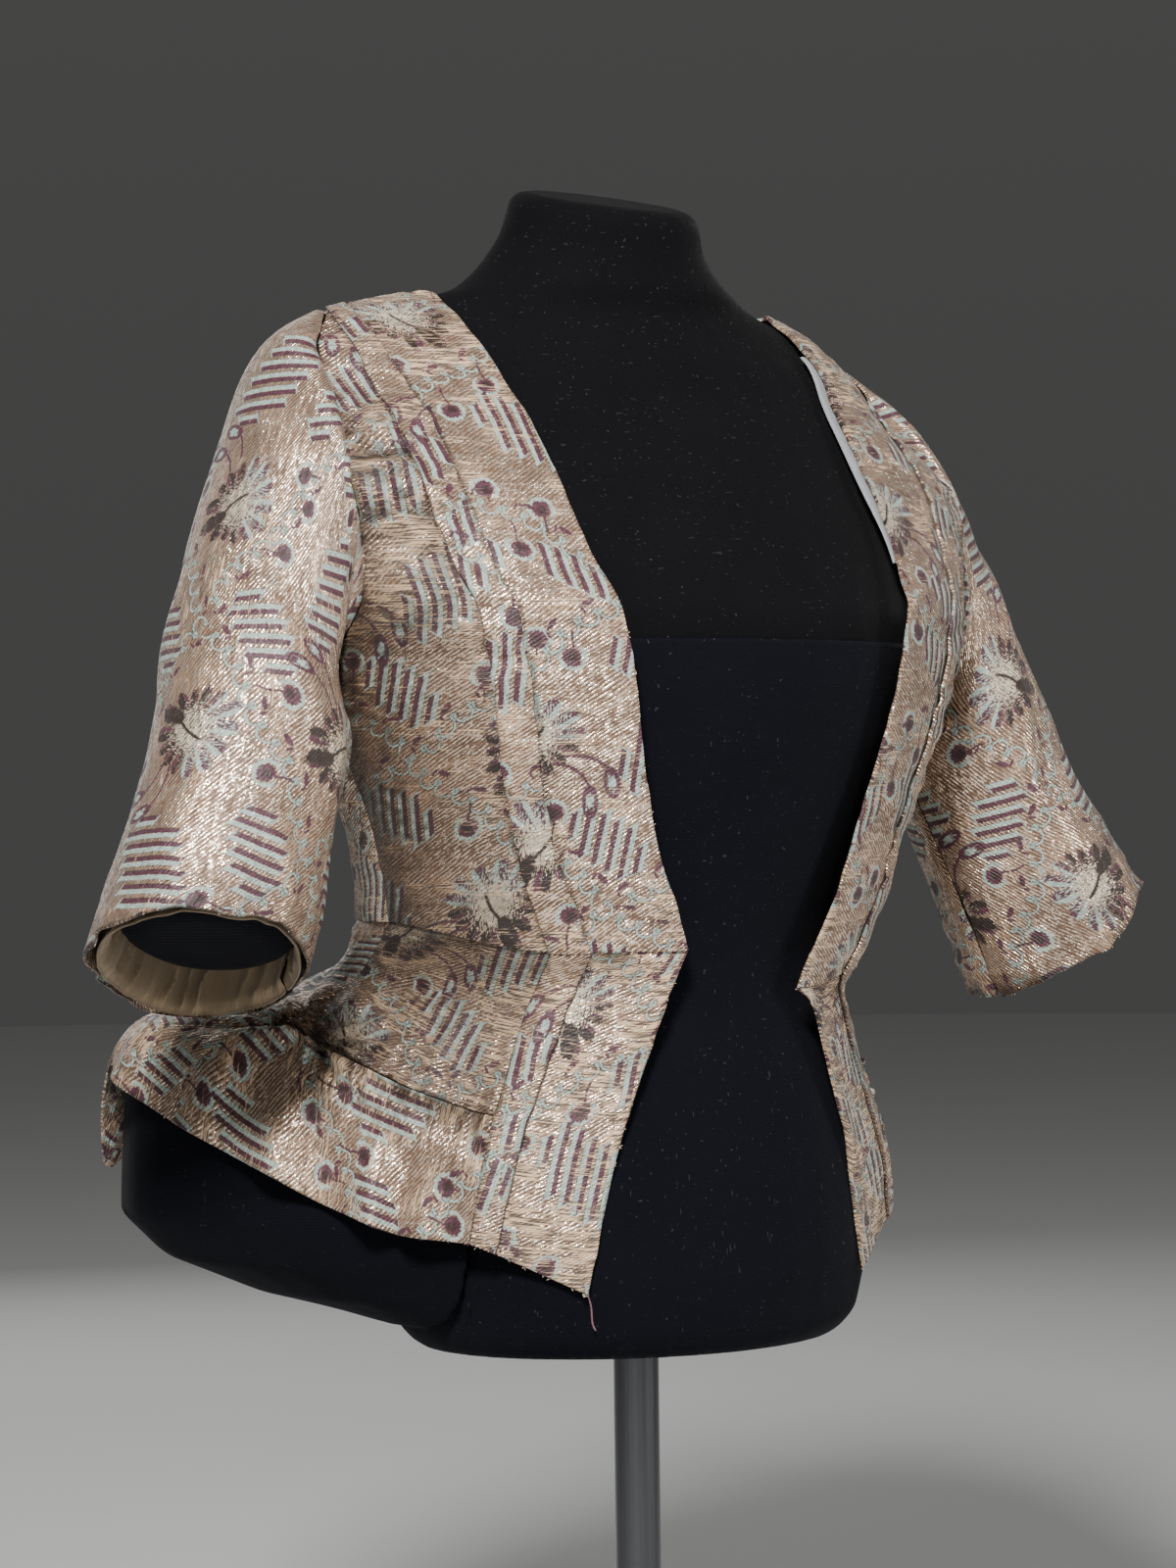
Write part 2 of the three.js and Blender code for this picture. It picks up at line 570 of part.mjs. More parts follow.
function skirtPanel(side, [from, to], [t0, t1], columns, wall, lift) {
  const cell = (s, t) => skirtCell(side, mix(from, to, s), t);
  const rows = range((t1 - t0) * ROWS_PER_RING).map((share) => mix(t0, t1, share));
  return clothPanel(cell, range(columns), rows, wall, lift);
}

const skirtFront = (side) => skirtPanel(side, [EDGE_ANGLE, FRONT_SEAM_ANGLE], [0, HEM], FRONT_COLUMNS);
const skirtRobing = (side) => skirtPanel(side, ROBING_ANGLES, [0, HEM], 4, CLOTH, LAID_ON + CLOTH);
const hipYoke = (side) => skirtPanel(side, [FRONT_SEAM_ANGLE, QUARTER], [0, YOKE_RING], SIDE_COLUMNS);
const flounce = (side) => skirtPanel(side, [FRONT_SEAM_ANGLE, QUARTER], [YOKE_RING, HEM], 2 * SIDE_COLUMNS);
const skirtBack = (side) => skirtPanel(side, [QUARTER, Math.PI], [0, HEM], 20);

// ---- the form ------------------------------------------------------------------------------------
const FORM_POINTS = 32;
const BAND_TOP = 686;
const BAND_BOTTOM = 309;
const BAND_LEVELS = [...FORM.level.filter((level) => level >= BAND_BOTTOM && level < BAND_TOP), BAND_TOP];

function formLoop(level, beyond = 0) {
  return Array.from({ length: FORM_POINTS }, (_, i) => {
    const angle = (2 * Math.PI * i) / FORM_POINTS;
    const surface = (a, z) => sloped(LEFT, ringPoint(FORM, a, Math.min(Math.max(z, FORM_BOTTOM), FORM_TOP)));
    return surface(angle, level).addScaledVector(surfaceNormal(surface, angle, level, 0.02, 1), beyond);
  });
}

function formTorso() {
  const loops = FORM.level.map((level) => formLoop(level));
  const neck = loops[loops.length - 1];
  const centre = centroid(neck);
  loops.push(neck.map((p) => p.clone().lerp(centre, 0.14).add(new THREE.Vector3(0, 0, 4))));
  return loftMesh(loops);
}

const jerseyTube = () => wallMesh(
  BAND_LEVELS.map((level) => formLoop(level, FACE_GAP + JERSEY)),
  BAND_LEVELS.map((level) => formLoop(level, FACE_GAP)),
  true,
);

// rump pad: a roll round the sides and back of the hips, under the skirt
const PAD_FROM = radians(52);   // angle at the waist seam where the roll starts
const PAD_FULL = radians(70);   // and where it has its whole thickness
const PAD_CLEAR = 6.5;          // below the cloth
const PAD_AIR = FACE_GAP + JERSEY + 1.9;
const PAD_STEPS = 19;
const PAD_UNDERSIDE = [[376, 0.99], [354, 0.84], [335, 0.5], [323, 0.16]];
const PAD_INSIDE = [319, 335, 350, 375, 400, 425, 450, 472];
const PAD_LEFT_FLARE = 0.25;    // the left front of its underside stands out

function padSection(side, angle) {
  const grown = mix(0.25, 1, ease((angle - PAD_FROM) / (PAD_FULL - PAD_FROM)));
  const cell = (t) => {
    const { point, normal } = skirtCell(side, angle, t);
    return point.addScaledVector(normal, -PAD_CLEAR * mix(0.35, 1, grown) - skirtFold(skirtRow(angle), t));
  };
  const hem = cell(HEM);
  const seat = (level, nearest = hem) => {
    const middle = column(FORM, 'middle', level);
    const reach = Math.abs(column(FORM, nearest.y < middle ? 'front' : 'back', level) - middle);
    const turn = Math.atan2(Math.abs(nearest.x) / column(FORM, 'half', level), (middle - nearest.y) / reach);
    const surface = (a, z) => ringPoint(FORM, a, z);
    const normal = surfaceNormal(surface, turn, level, 0.02, 1);
    return mirrored(side, surface(turn, level).addScaledVector(normal, PAD_AIR));
  };
  const flare = side === LEFT ? PAD_LEFT_FLARE * (1 - ease((angle - PAD_FROM) / radians(32))) : 0;
  const under = ([level, share]) => (
    seat(level).lerp(new THREE.Vector3(hem.x, hem.y, level), (share + flare * share) * grown).setZ(level));
  const tuck = (level, t) => {
    const top = cell(t);
    return seat(level, top).lerp(top, grown);
  };
  return [
    seat(494), tuck(488, 1.3), tuck(470, 2), tuck(440, 3), tuck(404, 3.75),
    ...PAD_UNDERSIDE.map(under),
    ...PAD_INSIDE.map((level) => seat(level)),
  ];
}

function rumpPad() {
  const angles = range(PAD_STEPS).map((r) => mix(PAD_FROM, Math.PI, r));
  const right = angles.map((angle) => padSection(RIGHT, angle));
  const left = angles.slice(0, -1).reverse().map((angle) => padSection(LEFT, angle));
  return loftMesh([...right, ...left]);
}

// ---- the stand -----------------------------------------------------------------------------------
function lathe(profile, segments) {
  const geometry = new THREE.LatheGeometry(profile.map(([r, y]) => new THREE.Vector2(r, y)), segments);
  geometry.rotateX(QUARTER);
  return geometry;
}

const basePlate = () => lathe([
  [0, 0], [BASE_RADIUS, 0], [BASE_RADIUS, BASE_THICKNESS - BASE_EDGE],
  [BASE_RADIUS - BASE_EDGE, BASE_THICKNESS], [0, BASE_THICKNESS],
], 48);

const pole = () => lathe([
  [0, BASE_THICKNESS + FACE_GAP], [POLE_RADIUS, BASE_THICKNESS + FACE_GAP],
  [POLE_RADIUS, FORM_BOTTOM - FACE_GAP], [0, FORM_BOTTOM - FACE_GAP],
], 32);

// ---- materials and assembly ----------------------------------------------------------------------
const brocade = new THREE.MeshStandardMaterial({ color: 0xc8b4a2, roughness: 0.45, metalness: 0.25 });
const plainLining = new THREE.MeshStandardMaterial({ color: 0xd4d2cd, roughness: 0.9, metalness: 0 });
const cuffLining = new THREE.MeshStandardMaterial({ color: 0xc8aa7d, roughness: 0.85, metalness: 0 });
const felt = new THREE.MeshStandardMaterial({ color: 0x16161c, roughness: 1, metalness: 0 });
const jersey = new THREE.MeshStandardMaterial({ color: 0x141620, roughness: 0.95, metalness: 0 });
const steel = new THREE.MeshStandardMaterial({ color: 0xb9bcc0, roughness: 0.3, metalness: 1 });

const bodice = new THREE.Group();

function add(name, geometry, material) {
  const mesh = new THREE.Mesh(geometry, material);
  mesh.name = name;
  bodice.add(mesh);
}

for (const [side, name] of SIDES) {
  add(`back_${name}`, backPanel(side), brocade);
  add(`side_front_${name}`, sideFrontPanel(side), brocade);
  add(`front_${name}`, frontPanel(side), brocade);
  add(`robing_${name}`, robingStrip(side), brocade);
  add(`sleeve_${name}`, sleeveTube(side, name, 0, 1, 10, CLOTH, 0), brocade);
  const inCuff = sleeveTube(side, name, 1 - CUFF_LINING_DEPTH, 1, 2, LINING, CLOTH + LAID_ON);
  add(`sleeve_lining_${name}`, inCuff, cuffLining);
  add(`skirt_front_${name}`, skirtFront(side), brocade);
  add(`skirt_robing_${name}`, skirtRobing(side), brocade);
  add(`hip_yoke_${name}`, hipYoke(side), brocade);
  add(`flounce_${name}`, flounce(side), brocade);
  add(`skirt_back_${name}`, skirtBack(side), brocade);
  add(`arm_pad_${name}`, armPad(side, name), jersey);
}
add('neck_lining_left', neckLining(), plainLining);
add('form_torso', formTorso(), felt);
add('form_jersey', jerseyTube(), jersey);
add('rump_pad', rumpPad(), jersey);
add('pole', pole(), steel);
add('base_plate', basePlate(), steel);

export default bodice;
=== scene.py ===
import math

import bmesh
import bpy
import numpy as np
from bpy.props import FloatProperty, FloatVectorProperty, PointerProperty
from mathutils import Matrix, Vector


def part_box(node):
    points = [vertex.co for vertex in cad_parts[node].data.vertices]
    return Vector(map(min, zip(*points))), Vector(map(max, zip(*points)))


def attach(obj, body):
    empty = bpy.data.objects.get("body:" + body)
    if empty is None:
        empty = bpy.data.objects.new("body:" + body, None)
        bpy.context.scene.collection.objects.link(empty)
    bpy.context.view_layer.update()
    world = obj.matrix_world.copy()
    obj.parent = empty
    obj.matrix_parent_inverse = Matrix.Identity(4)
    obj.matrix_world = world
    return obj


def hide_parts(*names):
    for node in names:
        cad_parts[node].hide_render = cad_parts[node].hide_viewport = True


bl_info = {
    "name": "Brocade bodice on a dress form",
    "version": (1, 0, 0),
    "blender": (4, 5, 0),
    "location": "View3D > Sidebar > Bodice",
    "description": "Builds a worn brocade bodice, its dress form and a plain studio",
    "category": "Object",
}

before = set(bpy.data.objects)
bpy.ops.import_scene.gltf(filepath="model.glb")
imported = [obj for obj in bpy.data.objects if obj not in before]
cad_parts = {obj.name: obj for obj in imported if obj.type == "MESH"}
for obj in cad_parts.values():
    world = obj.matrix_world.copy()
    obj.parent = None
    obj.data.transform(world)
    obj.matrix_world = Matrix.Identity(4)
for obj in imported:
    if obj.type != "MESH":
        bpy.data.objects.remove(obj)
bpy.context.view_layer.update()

# ---- sizes of the garment, in millimetres -------------------------------------------------
# The figure faces -Y and its left side is +X. Shapes are worked out for the left side.
RIGHT = -1
LEFT = 1
SIDES = ((RIGHT, "right"), (LEFT, "left"))
SEAM = 0.2              # each cut piece stops this far short of its seam line
LAID_ON = 0.4           # air between a panel and what is laid on it
BAND_WIDTH = 55         # front band, from the open edge to the robing
ROBING_WIDTH = 20
ROBING_WAIST = 23
ROBING_SHOULDER = 13
LINING_WIDTH = 17       # strip of lining at the left neck edge
LINING_SHOWS = 5        # how far it stands past that edge
LINING_LOW = 730        # level of its lower end
LINING_HIGH = 852       # and of its upper one
WAIST_LEVEL = 538       # waist seam at the side
WAIST_DIP = 16          # how much lower it runs at the front
DIP_TOP = 600           # rows below this level are drawn down with the seam
NECK_POINT = 876.8      # level where the shoulder seam meets the neck
LEFT_DROP = 23          # how much lower the left front's waist corner hangs
SHOULDER_DROP = 14      # how far the left shoulder slopes in and down
SHOULDER_FROM = (126, 750)      # x and level where the slope starts
SHOULDER_TO = (215, 858)        # and where it is whole
SHOULDER_SEAM = math.radians(97)
CRUMPLED = (202, 762)   # crushed cloth beside the armhole: length from the middle of the front, level
HIP_POINT = (84, 1.9)   # middle of the folds over the hip: degrees at the waist seam, skirt ring
SLEEVE_LENGTH = 390     # its width round the arm is about the same
SLEEVE_LIFT = 0.9       # the sleeve's head stands this far outside the armhole
CUFF_LINING_DEPTH = 0.2         # share of the sleeve's length
BODY_MIDDLE = 6         # y of the body's own middle
SKIRT_MIDDLE = 20       # and of the skirt's
SKIRT_SPREAD = 240      # cloth for each radian of the waist seam
RING_STEP = 45          # cloth from one ring of the skirt to the next

# ---- meshes ---------------------------------------------------------------------------------
EDGE_POINTS = (0.35, 0.9, 1.8)  # extra points this far inside every edge
EDGE_ROUND = 0.9        # radius of a cut edge
CLOSE_LINING = 0.62     # share of the usual step that the cuff linings' gathers need
CLOSE_GATHERS = 0.55    # and the flounces'
FORM_VOXEL = 0.0041     # metres
PAD_VOXEL = 0.0036
LATTICE = 97            # points along each side of the noise's lattice
TINY = 1e-9             # keeps a length from being 0 where it divides
QUARTER = math.pi / 2

# ---- camera, in metres ----------------------------------------------------------------------
POLE_OFFSET = 0.0228    # how far the pole stands right of the middle of the view
AIM_ABOVE = 0.0054      # how much higher than itself the camera looks at the pole
CAMERA_ROLL = math.radians(0.67)
SENSOR = 24             # width of its sensor in millimetres

# where on the silk each side is cut, beyond each piece's own place
BODY_CUT = {RIGHT: (31, 17), LEFT: (-44, 61)}
SLEEVE_CUT = {RIGHT: (24, 70), LEFT: (-60, 9)}
SKIRT_CUT = {RIGHT: (0, 0), LEFT: (53, -37)}


def columns(names, rows):
    """A table as one array for each of its columns."""
    return {name: np.array([row[i] for row in rows], float) for i, name in enumerate(names)}


# level, half width, front y, back y, y of the widest point, power of the oval
BODICE = columns(("level", "half", "front", "back", "middle", "power"), (
    (480, 128, -103, 136, 12, 2.0), (505, 133, -106, 137, 12, 2.0), (520, 144, -109.5, 137, 11, 2.0),
    (536, 152, -113.5, 136, 10, 2.0), (553, 157, -118.5, 129, 6, 2.0), (578, 164, -123, 122, 3, 2.0),
    (600, 173, -127, 118, 1, 2.0), (632, 188, -134, 117, 0, 2.0), (665, 200, -140, 117, 0, 2.0),
    (700, 212, -141, 117, 2, 2.0), (722, 219, -128, 117, 4, 2.0), (747, 225, -112, 116, 6, 2.0),
    (772, 230, -94, 114, 10, 2.0), (797, 220, -76, 110, 15, 2.0), (825, 199, -56, 102, 25, 1.95),
    (845, 192, -46, 94, 33, 1.75), (854, 187, -40, 91, 35, 1.55), (863, 177, -34, 88, 36, 1.4),
    (871, 152, -26, 87, 34, 1.32), (877.5, 120, -21, 85, 30, 1.4),
))
# half width of the front opening, then of the back between the armholes, then of the back neck
OPENING = columns(("level", "half"), (
    (498, 36), (521, 42), (540, 50), (560, 59), (580, 66), (600, 72), (632, 81), (665, 88),
    (700, 96), (722, 102), (747, 105), (797, 107), (825, 111), (845, 114.5), (860, 115), (877, 114),
))
ARMHOLE = columns(("level", "half"), (
    (670, 205), (690, 203), (722, 202), (747, 203), (772, 205), (797, 201), (825, 192), (845, 187),
    (866, 172),
))
BACK_NECK = columns(("level", "half"), (
    (840, 0), (844, 35), (850, 66), (859, 90), (868, 106), (877, 114),
))

# sections of the sleeve: outermost and innermost point, half depth, degrees that its front is raised
SLEEVE = (
    ((207, 27, 846), (206, -1, 675), 55, 0),
    ((227, 29, 806), (204.5, 4, 668), 56, 2),
    ((249, 26, 755), (202.5, 8, 657), 55, 4),
    ((274, 13, 698), (197.5, 4, 641), 53, 6),
    ((289, 1, 655), (194, 0, 625), 52, 8),
)
FOREARM = {
    RIGHT: (
        ((307, -8, 610), (209, -8, 580), 51, 9),
        ((324, -13, 573), (220, -13, 541), 54, 12),
        ((341, -17, 538), (231, -17, 505), 57, 25),
    ),
    LEFT: (
        ((305, -8, 611), (213, -8, 579), 51, 7),
        ((322, -13, 577), (232, -13, 536), 53, 6),
        ((337, -16, 549), (254, -17, 485), 56, 5),
    ),
}

# lines of the skirt: angle at the waist seam, then points at the flank, hip, knee and hem rings
SKIRT = (
    (16.4, (50, -99, 497), (73, -91, 430), (84, -87, 386), (93, -84, 343)),
    (39.5, (94, -66, 497), (117, -59, 436), (129, -59, 401), (136, -54, 367)),
    (49.5, (107, -48, 497), (128, -44, 437), (139, -47, 403), (146, -45, 371)),
    (58, (117, -33, 499), (141, -23, 444), (153, -22, 408), (161, -21, 373)),
    (66, (125, -16, 500), (155, -4, 452), (165, -3, 414), (173, -3, 378)),
    (74, (133, 4, 502), (166, 18, 462), (181, 26, 430), (195, 25, 393)),
    (82, (141, 30, 504), (176, 46, 473), (200, 58, 447), (215, 60, 411)),
    (90, (144, 56, 507), (180, 76, 483), (217, 93, 465), (232, 100, 430)),
    (105, (139, 84, 510), (177, 110, 489), (224, 131, 479), (240, 141, 447)),
    (120, (121, 107, 512), (160, 143, 491), (211, 166, 482), (229, 176, 457)),
    (130, (108, 118, 513), (146, 158, 491), (196, 186, 478), (216, 199, 400)),
    (141, (91, 130, 513), (122, 176, 490), (168, 209, 479), (187, 220, 409)),
    (154, (62, 144, 513), (85, 190, 489), (120, 230, 478), (135, 243, 413)),
    (167, (33, 152, 513), (44, 197, 488), (62, 240, 476), (70, 254, 415)),
    (180, (0, 155, 513), (0, 199, 487), (0, 243, 475), (0, 257, 416)),
)
SAG = (0.55, 0.2, 0, 0)     # share of the left drop that each ring still has
HEM = 4                     # ring at the skirt's foot
YOKE_RING = 2               # ring where the yoke ends and the flounce starts
# folds that run down the skirt: line that each follows, height and width
FOLDS = columns(("row", "height", "width"), (
    (2.9, 4.0, 0.3), (3.5, -2.5, 0.25), (4.1, 7.5, 0.3), (4.9, -4.0, 0.3), (5.6, 8.5, 0.3),
    (6.7, 7.5, 0.3), (8.0, 7.0, 0.35), (9.7, 6.0, 0.8), (11.4, 7.0, 0.45), (12.7, 7.0, 0.45),
))


# ---- curves and rings ------------------------------------------------------------------------
def smooth(xs, ys, x):
    """Monotone cubic through (xs, ys)."""
    xs, ys = np.asarray(xs, float), np.asarray(ys, float)
    slope = np.diff(ys) / np.diff(xs)
    before, after = slope[:-1], slope[1:]
    same_way = before * after > 0
    inner = np.where(same_way, 2 * before * after / np.where(same_way, before + after, 1), 0)
    tangent = np.concatenate([slope[:1], inner, slope[-1:]])
    at = np.clip(x, xs[0], xs[-1])
    i = np.clip(np.searchsorted(xs, at, side="right") - 1, 0, len(xs) - 2)
    step = xs[i + 1] - xs[i]
    t = (at - xs[i]) / step
    t2, t3 = t * t, t * t * t
    return ((2 * t3 - 3 * t2 + 1) * ys[i] + (t3 - 2 * t2 + t) * step * tangent[i]
            + (3 * t2 - 2 * t3) * ys[i + 1] + (t3 - t2) * step * tangent[i + 1])


def along(knots, t):
    """Catmull-Rom through equally spaced knots, points or whole rows of points."""
    knots = np.asarray(knots, float)
    i = np.clip(np.floor(t).astype(int), 0, len(knots) - 2)
    f = (t - i).reshape(t.shape + (1,) * (knots.ndim - 1))
    a, b, c, d = (knots[np.clip(i + k, 0, len(knots) - 1)] for k in (-1, 0, 1, 2))
    return b + 0.5 * f * (c - a + f * (2 * a - 5 * b + 4 * c - d + f * (3 * (b - c) + d - a)))


def ease(t):
    """0 below 0 and 1 above 1, smooth between them."""
    c = np.clip(t, 0, 1)
    return c * c * (3 - 2 * c)


def mix(a, b, t):
    return a + (b - a) * t


def fading(distance, reach):
    """1 at an edge, falling off over reach."""
    return np.exp(-distance / reach)


def bell(away, width):
    """1 at the middle, falling off smoothly on both sides."""
    return np.exp(-((away / width) ** 2))


def scaled(colour, share):
    return tuple(share * part for part in colour)


def unit(vectors):
    """The same directions with a length of 1."""
    return vectors / np.maximum(np.linalg.norm(vectors, axis=-1, keepdims=True), TINY)


def column(rows, name, level):
    """One column of a table of levels, read at any level."""
    return smooth(rows["level"], rows[name], level)


def ring_point(angle, level):
    """Points of the body's smooth shape; the angle is 0 at the middle of the front."""
    half, middle = column(BODICE, "half", level), column(BODICE, "middle", level)
    power = 2 / column(BODICE, "power", level)
    s, c = np.sin(angle), np.cos(angle)
    reach = np.where(c >= 0, column(BODICE, "front", level), column(BODICE, "back", level)) - middle
    x = half * np.sign(s) * np.abs(s) ** power
    return np.stack(np.broadcast_arrays(x, middle + reach * np.abs(c) ** power, level), axis=-1)


def sloped(side, points):
    """Moves points near the shoulder's tip in and down; the right keeps its padded shape."""
    if side == RIGHT:
        return points
    out = (points[..., 0] - SHOULDER_FROM[0]) / (SHOULDER_TO[0] - SHOULDER_FROM[0])
    up = (points[..., 2] - SHOULDER_FROM[1]) / (SHOULDER_TO[1] - SHOULDER_FROM[1])
    drop = SHOULDER_DROP * ease(out) * ease(up)
    return points - drop[..., None] * np.array([1, 0, 1])


def angle_at(x, level, at_back=False):
    """Angle on a ring where the body is x from its middle."""
    share = np.minimum(x / column(BODICE, "half", level), 1)
    angle = np.arcsin(share ** (column(BODICE, "power", level) / 2))
    return math.pi - angle if at_back else angle


TURNS = np.linspace(0, math.pi, 400)        # angles at which each ring is measured


def arc_lengths(level):
    """Length of cloth round each ring from the middle of the front, for every angle in TURNS."""
    points = ring_point(TURNS[None, :], np.asarray(level, float)[:, None])
    pieces = np.linalg.norm(np.diff(points, axis=1), axis=2)
    return np.concatenate([np.zeros((len(pieces), 1)), np.cumsum(pieces, axis=1)], axis=1)


def angle_beyond(start, length, level):
    """Angle that lies a length of cloth beyond the start on each ring."""
    arcs = arc_lengths(level)
    length = np.broadcast_to(length, np.shape(start))
    return np.array([
        np.interp(np.interp(a, TURNS, arc) + extra, arc, TURNS)
        for a, extra, arc in zip(start, length, arcs)
    ])


def crossing(low, high):
    """Level where the ring's half width equals the armhole's."""
    levels = np.linspace(low, high, 4000)
    over = column(BODICE, "half", levels) - column(ARMHOLE, "half", levels)
    return levels[np.argmin(np.abs(over))]


UNDERARM = crossing(670, 700)
SHOULDER_TIP = crossing(845, 870)


def waist_level(side, angle):
    """Level of the waist seam, which dips towards the front and more so on the left."""
    dip = WAIST_DIP * (1 - ease((angle - math.radians(42)) / math.radians(48)))
    drop = LEFT_DROP * (1 - ease((angle - math.radians(12)) / math.radians(78))) if side == LEFT else 0
    return WAIST_LEVEL - dip - drop


def above_waist(row):
    """0 where the rows start to be drawn down and 1 at the waist seam."""
    return (DIP_TOP - row) / (DIP_TOP - WAIST_LEVEL)


def open_edge(row):
    lowered = row - WAIST_DIP * ease(above_waist(row))
    return angle_at(column(OPENING, "half", lowered), row)


def robing_width(row):
    below = mix(ROBING_WIDTH, ROBING_WAIST, ease(above_waist(row)))
    above = mix(ROBING_WIDTH, ROBING_SHOULDER, ease((row - 800) / 60))
    return np.where(row < DIP_TOP, below, above)


def beyond_edge(row, length):
    """Angle that lies a length of cloth beyond the open edge, as far as the shoulder seam."""
    return np.minimum(angle_beyond(open_edge(row), length, row), SHOULDER_SEAM)


def robing_inner(row):
    return beyond_edge(row, BAND_WIDTH)


def robing_outer(row):
    return beyond_edge(row, BAND_WIDTH + robing_width(row))


def front_seam(row):
    return beyond_edge(row, BAND_WIDTH + robing_width(row) / 2)


def armhole_edge(row, at_back):
    hole = angle_at(column(ARMHOLE, "half", row), row, at_back)
    return np.where(row < UNDERARM, QUARTER, np.where(row <= SHOULDER_TIP, hole, SHOULDER_SEAM))


def side_of_front(row):
    return armhole_edge(row, False)


def side_of_back(row):
    return armhole_edge(row, True)


def centre_back(row):
    return angle_at(column(BACK_NECK, "half", row), row, True)


def lining_start(row):
    """Edge of the neck lining, which stands out less at its two ends."""
    shows = LINING_SHOWS * ease((row - LINING_LOW) / 50) * (0.7 + 0.3 * ease((LINING_HIGH - row) / 40))
    return beyond_edge(row, -shows)


def lining_end(row):
    return beyond_edge(row, LINING_WIDTH - LINING_SHOWS)


# ---- grids of cloth ----------------------------------------------------------------------------
def spaced(start, end, step, length=None):
    """Values from start to end, about a step of cloth apart, closer together at both edges."""
    length = abs(end - start) if length is None else length
    count = max(int(round(length / step)), 3)
    inside = np.linspace(0, 1, count + 1)
    near = np.array(EDGE_POINTS) / length
    near = near[near < inside[1] * 0.8]
    shares = np.unique(np.concatenate([inside, near, 1 - near]))
    return start + (end - start) * shares


def steps_along(points, axis):
    """Running length of cloth along one axis of a grid of points."""
    pieces = np.linalg.norm(np.diff(points, axis=axis), axis=2)
    shape = list(pieces.shape)
    shape[axis] = 1
    return np.concatenate([np.zeros(shape), np.cumsum(pieces, axis=axis)], axis=axis)


def outward(points, centre_y):
    """Unit normals of a grid, pointing away from the upright line at centre_y."""
    normal = unit(np.cross(np.gradient(points, axis=1), np.gradient(points, axis=0)))
    away = points - np.array([0, centre_y, 0])
    away[..., 2] = 0
    return normal * np.sign(np.sum(np.sum(normal * away, axis=2)))


def trimmed(points):
    """The same grid with its border pulled back from the seam lines."""
    done = points.copy()
    every = slice(None)
    for border, inside in ((0, 1), (-1, -2)):
        for index, other in (((border, every), (inside, every)), ((every, border), (every, inside))):
            away = points[other] - points[index]
            length = np.maximum(np.linalg.norm(away, axis=-1, keepdims=True), TINY)
            done[index] = done[index] + away / length * np.minimum(SEAM, length * 0.45)
    return done


def noise(x, y, cell_x, cell_y, seed):
    """Smooth noise from -1 to 1 on a lattice of cell_x by cell_y."""
    lattice = np.random.default_rng(seed).uniform(-1, 1, (LATTICE, LATTICE))
    gx, gy = x / cell_x, y / cell_y
    ix, iy = np.floor(gx).astype(int), np.floor(gy).astype(int)
    fx, fy = gx - ix, gy - iy
    fx, fy = fx * fx * (3 - 2 * fx), fy * fy * (3 - 2 * fy)

    def knot(a, b):
        return lattice[(ix + a) % LATTICE, (iy + b) % LATTICE]

    low = knot(0, 0) * (1 - fx) + knot(1, 0) * fx
    high = knot(0, 1) * (1 - fx) + knot(1, 1) * fx
    return low * (1 - fy) + high * fy


def creases(x, y, rows):
    """Sum of soft ridges; each row has two ends, a width and a height, negative for a groove."""
    total = np.zeros(np.broadcast(x, y).shape)
    for x0, y0, x1, y1, width, height in rows:
        dx, dy = x1 - x0, y1 - y0
        t = np.clip(((x - x0) * dx + (y - y0) * dy) / (dx * dx + dy * dy), -0.2, 1.2)
        away = np.hypot(x - x0 - t * dx, y - y0 - t * dy)
        fade = ease((t + 0.2) / 0.5) * ease((1.2 - t) / 0.5)
        total += height * fade * np.exp(-(away / width) ** 2)
    return total


GRIDS = {}      # middle of the wall and normals of each sheet made, for threads along its edges


class Cloth:
    """A grid of points on a piece's smooth shape, with normals and the place on the flat cloth.

    Left, right, top and foot are each point's lengths of cloth from those edges. Relief is how far
    it stands out of the smooth shape. Worn marks wear, and a second mark darkens the cloth for soiling and
    for painted shade in creases, in valleys and beside raised edges; the finish reads both.
    """

    def __init__(self, points, normals, u, v, turned=False):
        self.points = trimmed(points)
        self.normals = normals
        self.u, self.v = (v, u) if turned else (u, v)
        across, down = steps_along(points, 1), steps_along(points, 0)
        self.across, self.down = across, down
        self.left, self.right = across, across[:, -1:] - across
        self.top, self.foot = down, down[-1:, :] - down
        self.relief = np.zeros(points.shape[:2])
        self.worn = np.zeros(points.shape[:2])
        self.grime_and_shade = np.zeros(points.shape[:2])

    def from_edge(self):
        """Length of cloth to the nearest edge."""
        return np.minimum(np.minimum(self.left, self.right), np.minimum(self.top, self.foot))

    def swayed(self, amount):
        """Moves the points sideways along the cloth."""
        self.points += unit(np.gradient(self.points, axis=1)) * amount[..., None]

    def turned_edge(self):
        """How far the cloth rounds down towards its edges."""
        near = np.clip(1 - self.from_edge() / EDGE_ROUND, 0, 1)
        return -EDGE_ROUND * (1 - np.sqrt(1 - near * near))

    def mesh(self, name, side, wall, lift):
        """The piece as an object, with its outside lifted off its smooth shape by lift."""
        outer = self.points + self.normals * (lift + self.relief + self.turned_edge())[..., None]
        inner = self.points + self.normals * (lift - wall + self.relief)[..., None]
        flip = np.array([side, 1, 1])
        GRIDS[name] = ((outer + inner) / 2 * flip, self.normals * flip)
        marks = {"worn": self.worn, "grime_and_shade": self.grime_and_shade}
        return wall_mesh(name, outer * flip, inner * flip, np.stack([self.u, self.v], -1), marks)


